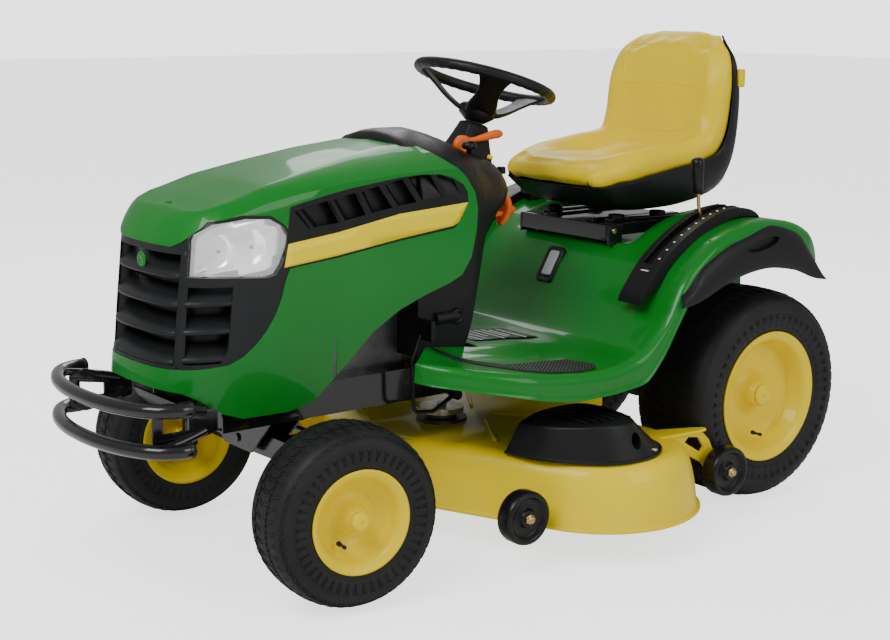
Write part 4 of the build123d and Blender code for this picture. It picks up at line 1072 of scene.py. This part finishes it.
def make_hand_controls():
    disc = [(-8, 0.1), (-8, 21), (-5, 25), (5, 25), (8, 21), (8, 0.1)]
    parts = [lathe("disc", disc, "orange_plastic", (60, 2, 931), (1, 0, 0), 48)]
    lever = [(60, 14, 944, 5, 5), (60, 40, 944, 5, 6), (60, 70, 948, 7, 9), (60, 100, 953, 9, 11),
        (60, 118, 954, 9, 10), (60, 127, 953, 5, 5)]
    parts.append(bar("lever", lever, "orange_plastic"))
    use(join("throttle_arm", parts), "throttle", "orange_plastic", "throttle_lever")
    knob = [(-12, 0.1), (-12, 6), (-2, 6.5), (0, 14), (4, 17.5), (10, 18), (15, 15), (18, 9), (19, 0.1)]
    knob = lathe("pto_pull_knob", knob, "satin_plastic", (104, -12, 927), (0, 0, 1), 40)
    use(knob, "pto_knob", "black_plastic", "pto_knob")
    grip = [(50, 130, 726, 10, 5), (50, 140, 740, 18, 8), (50, 149, 764, 22, 9), (50, 148, 788, 18, 9),
        (50, 140, 806, 10, 5)]
    parts = [bar("grip", grip, "orange_plastic")]
    parts.append(bar("nub", [(50, 150, 762, 12, 12), (50, 166, 761, 11, 11), (50, 178, 760, 7, 7)],
        "orange_plastic"))
    parts.append(bar("stem", [(50, 92, 752, 6.5, 6.5), (50, 120, 752, 6.5, 6.5),
        (50, 146, 755, 6.5, 6.5)], "orange_plastic"))
    use(join("choke_pull_handle", parts), "choke", "orange_plastic", "choke_handle")
    rod = [(362, 571, 640, 3.5, 9), (362, 548, 700, 3.5, 8), (361, 530, 745, 4, 5),
        (360, 520, 775, 4.5, 4.5), (360, 517, 820, 4.5, 4.5)]
    use(bar("lift_rod", rod, "brass"), "lift_lever", "steel", "lift_lever")
    handle = [(0, 0.1), (0, 9), (3, 12), (30, 13.5), (55, 15.5), (78, 17), (86, 14), (90, 8), (91, 0.1)]
    use(lathe("lift_grip", handle, "satin_plastic", (360, 517, 808), (0, -0.09, 1), 36), "lift_lever",
        "black_plastic")


# ---------------------------------------------------------------- fender and footrest
# Down the machine: the top line's y and z, then the skirt's lower edge's y and z.
FENDER_LINE = [
    (-318, 472, -318, 430), (-296, 473, -292, 424), (-250, 468, -250, 418),
    (-200, 460, -200, 410), (-120, 450, -120, 394), (-48, 441, -48, 379), (20, 435, 20, 372), (69, 432,
        69, 371),
    (125, 432, 128, 372), (180, 440, 185, 377), (228, 455, 231, 384), (266, 482, 257, 401), (309, 527,
        296, 446),
    (335, 570, 330, 498), (360, 610, 363, 548), (388, 642, 385, 580), (423, 669, 404, 600), (470, 699,
        440, 620),
    (527, 722, 527, 640), (585, 736, 585, 650), (643, 742, 643, 655), (720, 736, 720, 650), (780, 722,
        780, 640),
    (830, 700, 828, 630), (862, 676, 858, 614), (878, 650, 874, 602), (884, 622, 880, 594), (886, 600,
        883, 588),
]
FENDER_PLAN = [(-317, 250), (-313, 290), (-300, 322), (-270, 358), (-225, 400), (-170, 428), (-110, 452),
    (40, 470), (300, 475), (760, 474), (830, 464), (890, 440)]
FENDER_X = [0, 60, 120, 170, 192, 202, 212, 224, 246, 276, 310, 350, 390, 420, 449]
SEAT_FLOOR = 668
FENDER_MOUTH = [(-300, -420), (300, -420), (287, -306), (203, -216), (203, -58), (-203, -58),
    (-203, -216), (-287, -306)]


def fender_z(x, y, z):
    """The fender's height at x: a raised tunnel along the floor and a sunk seat platform."""
    x = abs(x)
    tunnel = 24 * (1 - ease((x - 180) / 110)) * ease((y + 330) / 80) * (1 - ease((y - 60) / 190))
    if y > 415:
        return SEAT_FLOOR + (z - SEAT_FLOOR) * ease((x - 198) / 28)
    return z + tunnel


def fender_half(y, z, by, bz):
    """The fender's half section at a station: its top, the rolled edge, the skirt and the skirt's lip."""
    depth = hypot(by - y, bz - z)
    dy, dz = (by - y) / depth, (bz - z) / depth
    roll = min(24.0, depth * 0.45)
    wide = along(FENDER_PLAN, y)
    half = []
    for share in FENDER_X:
        x = share * ((wide - roll) / FENDER_X[-1])
        half.append((x, y, fender_z(x, y, z)))
    for i in range(1, 6):
        a = radians(18 * i)
        drop = roll * (1 - cos(a))
        half.append((wide - roll + roll * sin(a), y + dy * drop, z + dz * drop))
    for t, kick in ((0.35, 0), (0.7, 0), (0.95, 2), (1.0, 4)):
        drop = roll + (depth - roll) * t
        half.append((along(FENDER_PLAN, y + dy * drop) + kick, y + dy * drop, z + dz * drop))
    half.append((half[-1][0] - 7, by, bz - 1))
    return half


def make_fender():
    rows = [both_sides(fender_half(*station)) for station in smooth_line(FENDER_LINE, 4)]
    skin = thick(loft("fender_shell", rows, "green_paint"), 3.5)
    cut(skin, prism(FENDER_MOUTH, 300, 900, "z"), folded=True)
    cut(skin, prism(rect(330, 374, 478, 656), 600, 800, "z"), folded=True)
    cut(skin, prism(oval(-300, 560, 32, 32), 640, 790, "z"), folded=True)
    parts = [skin]
    well = [(340, 440), (345, 560), (370, 610), (425, 662), (500, 664), (643, 664), (742, 664),
        (858, 664), (858, 440)]
    bolt = [(0, 0.1), (0, 8), (5, 8), (6, 6), (6, 0.1)]
    for side in (1, -1):
        parts.append(plate("well", well, *across(side, 205, 209), "x", "green_paint", 1))
        parts.append(block("ear", *across(side, 167, 174), 392, 440, 664, 714, "black_paint", 2))
        parts.append(lathe("ear_bolt", bolt, "brass", (side * 174, 408, 700), (side, 0, 0), 6))
    parts.append(block("rear_panel", -209, 209, 855, 860, 440, 667, "green_paint", 1.5))
    use(join("fender_shell", parts), "frame", "green_paint", "fender_body")


MAT_INNER = [(-205, 209), (-163, 262), (-86, 334), (-20, 328), (39, 316), (106, 336), (126, 400)]
MAT_OUTER = [(-205, 213), (-190, 262), (-150, 338), (-95, 408), (-39, 440), (50, 450), (100, 444),
    (126, 410)]


FLOOR_LINE = [(y, z) for y, z, _, _ in FENDER_LINE[3:]]


def on_floor(x, y, lift):
    """A point lift mm above the fender's floor. A negative x counts for the right side."""
    return (x, y, fender_z(x, y, along(FLOOR_LINE, y)) + lift)


def make_mats():
    parts = []
    for side in (1, -1):
        rows = []
        for i in range(34):
            y = -205 + 331 * i / 33
            a, b = along(MAT_INNER, y), along(MAT_OUTER, y)
            rows.append([on_floor(side * (a + (b - a) * t), y, 3.2) for t in (0, 0.2, 0.4, 0.6, 0.8, 1)])
        parts.append(bevelled(thick(loft("mat", rows, "mat_rubber"), 3), 0.8, 2, 50))
    use(join("floor_mats", parts), "frame", "mat_rubber", "foot_mats")
    rows = [[on_floor(x, -20 + 200 * i / 11, 0.8) for x in (5, 40, 80, 120, 150)] for i in range(12)]
    label = [thick(loft("label", rows, "satin_plastic"), 0.6)]
    for i in range(7):
        y = 4 + 24 * i
        z = on_floor(60, y, 1.1)[2]
        label.append(block("print", 18, 138 - 18 * (i % 3), y, y + 5, z, z + 0.4, "white_ink", 0.1, 1))
    use(join("floor_label", label), "frame", "black_plastic")


FLARE_TOP = [(352, 585), (376, 603), (408, 638), (441, 660), (509, 692), (571, 708), (650, 729),
    (708, 722), (768, 700), (800, 668), (838, 620), (864, 580)]
FLARE_LIP = [(334, 557), (352, 557), (385, 562), (422, 573), (490, 599), (568, 618), (648, 624),
    (731, 612), (770, 600), (800, 588), (835, 578), (868, 573)]
FLARE_SHAPE = [(458, 0.04), (468, 0), (476, 0.03), (484, 0.16), (490, 0.38), (493, 0.62), (494, 0.86),
    (493, 0.97), (490, 1.0), (487, 0.97), (488, 0.8), (486, 0.5), (478, 0.24), (462, 0.12)]


def make_flares():
    both = [a + b for a, b in zip(FLARE_TOP, FLARE_LIP)]
    for side, name in SIDES:
        rows = []
        for ty, tz, ly, lz in smooth_line(both, 5):
            rows.append([(side * x, ty + (ly - ty) * t, tz + (lz - tz) * t) for x, t in FLARE_SHAPE])
        flare = closed_loft(f"flare_{name}", rows, "black_plastic")
        cut(flare, prism(oval(622, 686, 58, 13, 12, 10), side * 455, side * 520))
        back = oval(622, 686, 62, 16, 12, 10)
        recess = plate("recess", back, *across(side, 474, 478), "x", "black_plastic", 0.5)
        flare = join(f"fender_flare_{name}", [bevelled(flare, 1.5, 2, 45), recess])
        use(flare, "frame", "black_plastic", *once(side, "fender_flares"))


CONSOLE = [(283, 556), (346, 596), (414, 648), (482, 690), (545, 722), (606, 744), (690, 742),
    (702, 736), (690, 750)]
CONSOLE += [(664, 762), (622, 769), (580, 766), (524, 752), (455, 722), (390, 682), (345, 644),
    (310, 602), (289, 574)]
CONSOLE_TOP = [(310, 602), (345, 644), (390, 682), (455, 722), (524, 752), (580, 766), (622, 769),
    (664, 762)]


def make_console():
    body = plate("console", smooth_ring(CONSOLE, 3), 324, 402, "x", "black_plastic", 10, 5)
    twin = mirrored(body, "console_blank")
    twin.data.transform(Matrix.Translation((0, 0, -4 / MM)))
    line = smooth_line(CONSOLE_TOP, 6)
    floor = [(y, z - 16) for y, z in line if 352 < y < 640]
    slot = [(348, 860), (348, floor[0][1])] + floor + [(642, floor[-1][1]), (642, 860)]
    cut(body, prism(slot, 342, 376))
    cut(body, prism(rect(484, 584, 600, 860), 351, 373))
    parts = [body]
    for x in (342, 376):
        parts.append(pipe("slot_edge", [(x, y, z + 0.5) for y, z in line if 350 < y < 640], 2.4,
            "satin_plastic"))
    dot = [(0, 0.1), (0, 3.4), (1, 3.2), (1, 0.1)]
    for i in range(10):
        y = 362 + 25 * i
        parts.append(lathe("dot", dot, "white_ink", (384, y, along(line, y) + 0.4), (0, -0.4, 1), 12))
    for y in (334, 650):
        z = along(line, y)
        parts.append(block("tick", 352, 376, y - 3, y + 2, z - 1, z + 1.6, "white_ink", 0.2, 1))
    use(join("lift_quadrant", parts), "frame", "black_plastic", "lift_console")
    use(twin, "frame", "black_plastic")


def on_riser(u, v, n):
    """A point on the sloped riser in front of the seat: u across, v up the slope, n off it."""
    return (u, 352 + 0.515 * v - 0.859 * n, 597 + 0.859 * v + 0.515 * n)


def riser_pad(name, half, low, high, corner, steps, material):
    """A rounded pad on the riser. Each step is (mm that its outline grows by, mm off the riser)."""
    rings = []
    for grow, n in steps:
        outline = ring_of(half + grow, low - grow, high + grow, corner, 4)
        rings.append([on_riser(u, v, n) for u, v in outline])
    return closed_loft(name, rings, material)


def make_fuel_window():
    steps = ((0, -3), (0, 3), (-2, 5.5), (-7, 6), (-11, 4.5), (-13, 2))
    bezel = riser_pad("fuel_bezel", 31, -52, 50, 10, steps, "satin_plastic")
    use(bezel, "frame", "black_plastic")
    steps = ((0, 1), (0, 4.5), (-1.5, 6), (-3, 6.3))
    window = riser_pad("fuel_window", 17, -32, 38, 5, steps, "window")
    use(window, "frame", "window", "fuel_gauge_window")


# ---------------------------------------------------------------- seat
# From the front edge to the top of the back: y and z of the pad's middle and of its bolster, then the
# half width, then y and z of the side's lower edge and of the underside.
SEAT = [
    (318, 818, 324, 818, 148, 330, 811, 340, 813), (301, 828, 314, 827, 170, 336, 808, 352, 816), (300,
        846, 318, 846, 184, 350, 808, 368, 817),
    (318, 860, 340, 862, 196, 372, 812, 385, 818), (360, 868, 380, 876, 206, 397, 818, 400, 818), (420,
        868, 440, 888, 212, 436, 822, 440, 812),
    (500, 862, 515, 897, 215, 500, 832, 500, 812), (570, 858, 590, 906, 216, 578, 844, 570, 812), (630,
        864, 650, 911, 217, 648, 854, 640, 812),
    (676, 884, 690, 922, 218, 712, 868, 720, 816), (704, 925, 703, 950, 220, 744, 888, 790, 835), (720,
        980, 712, 992, 221, 767, 930, 807, 900),
    (729, 1040, 718, 1050, 222, 777, 990, 813, 980), (740, 1095, 730, 1092, 222, 780, 1050, 815,
        1050), (751, 1135, 746, 1128, 216, 782, 1100, 815, 1100),
    (763, 1165, 762, 1156, 202, 786, 1134, 815, 1130), (778, 1187, 780, 1176, 178, 793, 1156, 816,
        1150), (795, 1200, 797, 1190, 158, 801, 1172, 818, 1165),
    (812, 1199, 812, 1188, 144, 810, 1182, 820, 1178),
]
SEAT_SHIFT = Vector((0, 14, 6)) / MM  # the pad and its shell sit this far back and up from those stations
CLOTH_FRAMES, CLOTH_VOXEL = 20, 0.006
# The shell's y and z on the centre plane, at each of the pad's stations.
SHELL_BACK = [(334, 806), (350, 792), (366, 780), (388, 762), (410, 750), (445, 743), (500, 740),
    (570, 740), (640, 744), (728, 760), (786, 796), (812, 856), (822, 925), (826, 995), (827, 1055),
    (827, 1098), (826, 1128), (825, 1144), (823, 1152)]


def seat_ring(row):
    """One ring of the pad, from a station of SEAT."""
    cy, cz, ey, ez, w, sy, sz, by, bz = row
    half = []
    for u in (0, 0.2, 0.38, 0.52, 0.62, 0.72, 0.81, 0.88):
        t = ease((u - 0.46) / 0.38)
        half.append((u * w, cy + (ey - cy) * t, cz + (ez - cz) * t))
    for u, t in ((0.94, 0.08), (0.985, 0.28), (1.0, 0.55), (0.985, 0.85), (0.95, 1.0)):
        half.append((u * w, ey + (sy - ey) * t, ez + (sz - ez) * t))
    for u in (0.8, 0.5, 0.2):
        half.append((u * w, by + (sy - by) * (u / 0.95) ** 6, bz + (sz - bz) * (u / 0.95) ** 6))
    return both_sides(half) + [(0, by, bz)]


def puff(obj, cap):
    """Swells a closed pad with a short cloth simulation, no point moving more than cap mm."""
    modify(obj, "REMESH", mode="VOXEL", voxel_size=CLOTH_VOXEL)
    modify(obj, "SMOOTH", factor=0.5, iterations=7)
    apply_modifiers(obj)
    start = [v.co.copy() for v in obj.data.vertices]
    cloth = modify(obj, "CLOTH")
    cloth.settings.use_pressure = True
    cloth.settings.uniform_pressure_force = 4
    cloth.settings.effector_weights.gravity = 0
    cloth.settings.quality = 4
    cloth.collision_settings.use_collision = False
    scene = bpy.context.scene
    for i in range(CLOTH_FRAMES):
        scene.frame_set(i + 1)
    apply_modifiers(obj)
    scene.frame_set(1)
    for v, old in zip(obj.data.vertices, start):
        move = v.co - old
        if move.length > cap / MM:
            v.co = old + move * (cap / MM / move.length)
    modify(obj, "SMOOTH", factor=0.5, iterations=6)
    modify(obj, "SUBSURF", levels=1, render_levels=1)
    apply_modifiers(obj)
    obj.data.shade_smooth()


def stitched(name, pad, points, aim):
    """A welt laid on the pad: each point is dropped along aim until it meets the surface."""
    line = []
    for point in points:
        start = at(*point)
        hit, place, normal, _ = pad.ray_cast(start, Vector(aim))
        if hit:
            line.append(tuple(place * MM - Vector((SHIFT[0], SHIFT[1], 0)) - normal * 0.6))
    return pipe(name, line, 2.1, "seat_vinyl", steps=12)


def make_seat_plate():
    top, lip = 716, 674
    parts = [block("pan", -166, 166, 394, 700, top - 6, top, "black_paint", 2)]
    parts.append(block("front_lip", -166, 166, 391, 397, lip, top, "black_paint", 2.5))
    for side in (1, -1):
        parts.append(block("side_lip", *across(side, 160, 166), 391, 700, top - 30, top, "black_paint",
            2.5))
        parts.append(block("bead", *across(side, 60, 84), 420, 660, top - 1, top + 5, "black_paint", 2.5))
    use(join("seat_tray", parts), "seat_base", "black_paint", "seat_base_plate")
    parts = []
    for x in (-120, 120):
        parts.append(block("slide", x - 14, x + 14, 440, 690, top, top + 8, "black_paint", 2))
        for y in (470, 620):
            angles = [pi * i / 6 for i in range(49)]
            turns = [(x + 20 * cos(a), y + 20 * sin(a), top + 6 + 10 * a / (8 * pi)) for a in angles]
            parts.append(pipe("coil", turns, 2.4, "dark_rod", steps=8))
    use(join("seat_coils", parts), "seat_base", "steel", "seat_springs")


def make_welts(pad):
    """The seams' welts: round and across the back's panel, then round the cushion's panel."""
    before, above = 500, 1000
    back, down = (0, 1, 0), (0, 0, -1)
    inset = [(0, 934), (84, 938), (118, 952), (134, 990), (140, 1058), (146, 1110), (150, 1166)]
    outline = smooth_line(both_sides(inset), 6)
    welts = [stitched("welt", pad, [(x, before, z) for x, z in outline], back)]
    for z, half, rise in ((1160, 150, 5), (1056, 140, 7)):
        shares = [i / 14 - 1 for i in range(29)]
        line = [(half * u, before, z + rise * (1 - u * u)) for u in shares]
        welts.append(stitched("welt", pad, line, back))
    line = smooth_line([(60, 318), (88, 360), (112, 430), (124, 520), (130, 600), (136, 660)], 5)
    for side in (1, -1):
        welts.append(stitched("welt", pad, [(side * x, y, above) for x, y in line], down))
    line = smooth_line([(-60, 318), (0, 312), (60, 318)], 6)
    welts.append(stitched("welt", pad, [(x, y, above) for x, y in line], down))
    return join("seat_welts", welts)


def make_seat():
    rows = [seat_ring(row) for row in smooth_line(SEAT, 3)]
    pad = closed_loft("seat_pad", rows, "seat_vinyl")
    puff(pad, 7)
    dress(pad, "seat_vinyl")
    pad.data.transform(Matrix.Translation(SEAT_SHIFT))
    welts = make_welts(pad)
    use(pad, "seat", "seat_vinyl", "seat_cushion")
    use(welts, "seat", "seat_vinyl")
    rows = []
    stations = [row + back for row, back in zip(SEAT, SHELL_BACK)]
    for row in smooth_line(stations, 3):
        w, sy, sz, by, bz = row[4], row[5], row[6], row[9], row[10]
        half = [(0, by, bz), (w * 0.4, by, bz)]
        for u, t in ((0.72, 0.03), (0.85, 0.14), (0.93, 0.36), (0.97, 0.66), (0.985, 0.95), (0.96, 1.03)):
            half.append((w * u, by + (sy - by) * t, bz + (sz - bz) * t))
        rows.append(both_sides(half))
    shell = thick(loft("seat_shell_panel", rows, "black_plastic"), -3)
    shell.data.transform(Matrix.Translation(SEAT_SHIFT))
    use(bevelled(shell, 1.2, 2, 45), "seat", "black_plastic", "seat_shell")
    clips = []
    for side in (1, -1):
        clips.append(block("clip", *across(side, 212, 226), 806, 828, 1056, 1104, "seat_vinyl", 5, 3))
    use(join("seat_clips", clips), "seat", "yellow_paint")
    make_seat_plate()
    rail = [(112, 505, 719), (160, 560, 722), (200, 640, 730), (232, 704, 748), (250, 716, 752)]
    use(pipe("seat_slide_handle", rail, 5, "black_paint"), "seat_base", "black_paint")


# ---------------------------------------------------------------- deck
LOBES = ((395, 160), (0, -10), (-395, 160))
DECK_LEVELS = [(246, 86), (249, 88.5), (249, 91.5), (246, 94), (241, 95), (239, 99), (237, 120),
    (233, 150), (226, 182), (219, 205), (212, 219), (203, 229), (192, 234.5), (178, 236)]


def deck_outline(radius):
    """The deck's plan: arcs of the radius about the three blades' axes."""
    lean = atan2(-395, 170)
    points = []
    arcs = [(LOBES[0], lean, pi / 2, 40), (LOBES[2], pi / 2, pi - lean, 40),
        (LOBES[1], -pi - lean, lean, 12)]
    for (cx, cy), a, b, steps in arcs:
        for i in range(steps):
            t = a + (b - a) * i / (steps - 1)
            points.append((cx + radius * cos(t), cy + radius * sin(t)))
    return points


def make_deck():
    rows = [[(x, y, z) for x, y in deck_outline(radius)] for radius, z in DECK_LEVELS]
    deck = loft("deck_pan", rows, "yellow_paint", closed=True)
    bm = bmesh.new()
    bm.from_mesh(deck.data)
    bm.verts.ensure_lookup_table()
    bm.faces.new(bm.verts[-len(rows[0]):])
    bmesh.ops.recalc_face_normals(bm, faces=bm.faces)
    bm.to_mesh(deck.data)
    bm.free()
    modify(deck, "SOLIDIFY", thickness=3 / MM, offset=-1)
    apply_modifiers(deck)
    cut(deck, prism(rect(-720, -560, 20, 300), 70, 226, "z"))
    parts = [bevelled(deck, 1, 2, 45)]
    for y in (6, 307):
        parts.append(block("ear", -642, -560, y, y + 7, 228, 256, "yellow_paint", 1.5))
    rib = [(0.2, -3), (0.2, 7), (2, 8.5), (6, 8.5), (8, 7), (8, -3)]
    ribs = ((40, 120, 300, 300), (-300, 300, -40, 120), (-250, -40, -90, 60), (90, 60, 250, -40))
    for x0, y0, x1, y1 in ribs:
        run = Vector((x1 - x0, y1 - y0, 0))
        side = Vector((-run.y, run.x, 0)).normalized()
        ring = []
        for t in (0, 1):
            base = Vector((x0, y0, 236)) + run * t
            ring.append([base + side * (u - 4) + Vector((0, 0, v)) for u, v in rib])
        parts.append(bevelled(closed_loft("rib", ring, "yellow_paint"), 1, 2, 40))
    use(join("deck_pan", parts), "deck", "yellow_paint", "deck_shell")
    hanger = [(122, 338), (262, 331), (262, 291), (240, 284), (150, 296), (122, 312)]
    use(plate("hanger_left", hanger, 296, 301, "x", "yellow_paint", 1.2), "deck", "yellow_paint")


COVER_BASE = [(345, -88), (440, -62), (526, 2), (570, 65), (580, 140), (556, 200), (500, 246),
    (400, 258), (312, 232), (292, 120), (305, 0)]
COVER_TOP = [(366, -66), (445, -45), (514, 6), (548, 62), (553, 112), (528, 146), (480, 166), (400, 172),
    (342, 150), (330, 90), (340, 0)]


# A belt cover's levels: how far from its base's outline to its top's, the height, and a scale.
COVER_RISE = [(-0.12, 237, 1.0), (-0.12, 243, 1.0), (0, 244, 1.0), (0.5, 282, 1.0), (0.97, 317, 1.0),
    (1.0, 321, 0.99), (1.0, 323, 0.965), (1.0, 323.5, 0.9)]


def make_covers():
    for side, name in SIDES:
        base, top = smooth_ring(COVER_BASE, 4), smooth_ring(COVER_TOP, 4)
        rows = []
        for t, z, shrink in COVER_RISE:
            row = []
            for (bx, by), (tx, ty) in zip(base, top):
                x, y = bx + (tx - bx) * t, by + (ty - by) * t
                x, y = 440 + (x - 440) * shrink, 60 + (y - 60) * shrink
                drop = 8 * ease((60 - y) / 150) * max(0.0, t)
                row.append((side * x, y, z - drop))
            rows.append(row)
        cover = closed_loft(f"cover_{name}", rows, "black_plastic")
        cut(cover, prism(oval(118, 283, 15, 19), side * 540, side * 620))
        parts = [bevelled(cover, 1.2, 2, 50)]
        for i in range(6):
            y = 20 + 24 * i
            width = across(side, 372 + 3 * i, 500 + 4 * i)
            parts.append(block("rib", *width, y, y + 4, 322, 329, "black_plastic", 1.2))
        use(join(f"belt_cover_{name}", parts), "deck", "black_plastic", *once(side, "spindle_covers"))
        screw = [(-4, 0.1), (-4, 5), (16, 5), (16, 9), (22, 9), (23, 7), (23, 0.1)]
        use(lathe(f"cover_bolt_{name}", screw, "steel", (side * 566, 176, 234), (0, 0, 1), 6), "deck",
            "steel")


GAUGE_Z = 134  # the height of the gauge wheels' axles
GAUGE = [(-22, 8.6), (-22, 18), (-20, 20.5), (-11, 22), (-10, 25), (-10, 42), (-12, 45), (-19, 48.5),
    (-22, 52), (-22, 57), (-19.5, 60.5), (-13, 62.4)]


def make_gauge_wheels():
    profile = GAUGE + [(-t, r) for t, r in reversed(GAUGE)]
    head = [(0, 0.1), (0, 13), (2, 13), (2, 9), (9, 9), (10.5, 7), (10.5, 0.1)]
    for side, hand in SIDES:
        for x, y, where in ((488, -154, "front"), (512, 484, "rear")):
            which, hub = f"{where}_{hand}", (side * x, y, GAUGE_Z)
            wheel = lathe(f"deck_wheel_{which}", profile, "satin_plastic", hub, (1, 0, 0), 64)
            use(wheel, f"gauge_{which}", "black_plastic", f"gauge_wheel_{which}")
            face = (side * (x + 22.5), y, GAUGE_Z)
            bolt = lathe(f"deck_wheel_bolt_{which}", head, "brass", face, (side, 0, 0), 6)
            use(bolt, "deck", "steel")


def make_wheel_brackets():
    parts = []
    for side in (1, -1):
        arm = [(296, 236), (330, 214), (446, 150), (470, 118), (500, 118), (504, 146), (472, 206),
            (440, 236), (330, 240)]
        window = [(384, 212), (440, 178), (452, 190), (432, 218), (396, 224)]
        web = plate("arm", arm, *across(side, 462, 468), "x", "yellow_paint", 2)
        cut(web, prism(window, side * 440, side * 490))
        parts.append(web)
        lid = [(396, 300), (470, 300), (482, 420), (476, 452), (462, 452), (446, 420)]
        parts.append(plate("lid", [(side * x, y) for x, y in lid], 232, 240, "z", "yellow_paint", 2))
        nose = [(-176, 118), (-132, 118), (-60, 112), (-60, 160), (-132, 152), (-172, 148)]
        parts.append(plate("nose", nose, *across(side, 452, 459), "x", "yellow_paint", 2))
        for x, y, root in ((452, -154, -2), (462, 484, 0)):
            boss = [(root, 0.1), (root, 14), (28, 12), (28, 0.1)]
            parts.append(lathe("boss", boss, "steel", (side * x, y, GAUGE_Z), (side, 0, 0), 24))
    use(join("wheel_brackets", parts), "deck", "yellow_paint", "deck_gauge_brackets")


# ---------------------------------------------------------------- bumper
BUMPER_HALF = [(252, -866), (250, -892), (222, -936), (155, -970), (78, -988), (0, -993)]


BUMPER_LEVELS = ((444, 420), (357, 377))  # the height of each tube, and of its strap's foot on the cheek


def make_bumper():
    line = smooth_line(BUMPER_HALF + [(-x, y) for x, y in reversed(BUMPER_HALF[:-1])], 4)
    parts = []
    for z, _ in BUMPER_LEVELS:
        parts.append(pipe(f"tube_{z}", [(x, y, z) for x, y in line], 16, "black_paint", steps=24))
    plug = [(-3, 0.1), (-3, 15), (0, 17.2), (4, 17.2), (6, 15), (6, 0.1)]
    for side in (1, -1):
        for z, _ in BUMPER_LEVELS:
            parts.append(lathe("plug", plug, "black_plastic", (side * 252, -864, z), (0, 1, 0), 32))
    use(join("bumper_bars", parts), "frame", "black_paint", "bumper_tubes")
    parts = []
    cheek = [(-925, 366), (-925, 436), (-886, 450), (-806, 424), (-770, 420), (-770, 372), (-830, 358),
        (-886, 350)]
    for side in (1, -1):
        web = plate("cheek", cheek, *across(side, 196, 202), "x", "black_paint", 2)
        cut(web, prism([(-900, 384), (-900, 420), (-840, 410), (-840, 384)], side * 180, side * 220))
        parts.append(web)
        for z, foot in BUMPER_LEVELS:
            strap = [(side * 199, -800, foot), (side * 205, -880, z - 4), (side * 214, -930, z)]
            parts.append(pipe("strap", strap, 9, "black_paint"))
    use(join("bumper_cheeks", parts), "frame", "black_paint", "bumper_brackets")


# ---------------------------------------------------------------- carried-over CAD nodes
CAD_LOOKS = {
    "black_paint": "frame_rails frame_crossmembers bumper_tubes bumper_brackets seat_base_plate "
    "front_axle_beam knuckle_left knuckle_right",
    "dark_rod": "brake_pedal",
    "black_plastic": "engine_blower_housing fuel_cap dash_pedestal fender_flares lift_console seat_shell "
    "spindle_covers discharge_deflector steering_wheel pto_knob forward_pedal reverse_pedal",
    "aluminium": "engine_crankcase engine_cylinders transaxle_case spindle_housings",
    "steel": "muffler seat_springs tie_rod blade_left blade_centre blade_right steering_shaft",
    "brass": "lift_lever",
    "tank": "fuel_tank",
    "grey_plastic": "battery hood_valance gauge_wheel_front_left gauge_wheel_rear_left "
    "gauge_wheel_front_right gauge_wheel_rear_right",
    "green_paint": "fender_body",
    "mat_rubber": "foot_mats",
    "window": "fuel_gauge_window",
    "yellow_paint": "deck_shell deck_gauge_brackets",
    "seat_vinyl": "seat_cushion",
    "orange_plastic": "throttle_lever choke_handle",
}


def dress_frame():
    for look, names in CAD_LOOKS.items():
        for name in names.split():
            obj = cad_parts[name]
            obj.data.materials.clear()
            obj.data.materials.append(MATS[look])


make_camera()
dress_frame()
make_hood()
make_wheels()
make_cowl()
make_steering_wheel()
make_hand_controls()
make_fender()
make_mats()
make_flares()
make_console()
make_fuel_window()
make_seat()
make_deck()
make_covers()
make_gauge_wheels()
make_wheel_brackets()
make_bumper()


# ---------------------------------------------------------------- stage
def area_light(name, place, aim, size, power):
    """A white panel light at place, turned to face aim, in the row frame's metres."""
    light = bpy.data.lights.new(name, "AREA")
    light.shape = "RECTANGLE"
    light.size, light.size_y = size
    light.energy = power
    obj = linked(name, light)
    obj.location = place
    obj.rotation_euler = (Vector(aim) - Vector(place)).to_track_quat("-Z", "Y").to_euler()


SKY, BACKDROP = 0.42, 2.6  # the world's strength as light, and as the backdrop that the camera sees
FLOOR_GLOW = 1.7  # what the camera sees of the paper beyond the light that falls on it


def make_stage():
    bpy.ops.mesh.primitive_plane_add(size=60, location=(0, 0, 0))
    floor = bpy.context.object
    floor.name = "floor"
    m = Nodes("floor_paper", (0.93, 0.93, 0.93), 0.8)
    m.put(m.bsdf, {"Base Color": m.ramp(m.noise(1.5), (0.92, 0.92, 0.92), (0.94, 0.94, 0.94))})
    seen = m.new("ShaderNodeLightPath").outputs["Is Camera Ray"]
    glow = m.new("ShaderNodeMath", {0: seen, 1: FLOOR_GLOW}, operation="MULTIPLY").outputs[0]
    m.put(m.bsdf, {"Emission Color": (1, 1, 1, 1), "Emission Strength": glow})
    floor.data.materials.append(m.mat)
    world = bpy.data.worlds.new("studio")
    bpy.context.scene.world = world
    world.use_nodes = True
    tree = world.node_tree
    background = tree.nodes["Background"]
    background.inputs["Color"].default_value = (1, 1, 1, 1)
    path = tree.nodes.new("ShaderNodeLightPath")
    gain = tree.nodes.new("ShaderNodeMath")
    gain.operation = "MULTIPLY_ADD"
    gain.inputs[1].default_value = BACKDROP - SKY
    gain.inputs[2].default_value = SKY
    tree.links.new(path.outputs["Is Camera Ray"], gain.inputs[0])
    tree.links.new(gain.outputs[0], background.inputs["Strength"])
    area_light("key", (1.2, -3.6, 4.2), (0, 0, 0.4), (3.2, 2.2), 170)
    area_light("side", (4.6, 1.2, 2.8), (0, 0, 0.5), (2.4, 3.0), 70)
    area_light("rim", (-3.2, 2.6, 3.6), (0, 0, 0.6), (2.5, 2.5), 70)


make_stage()
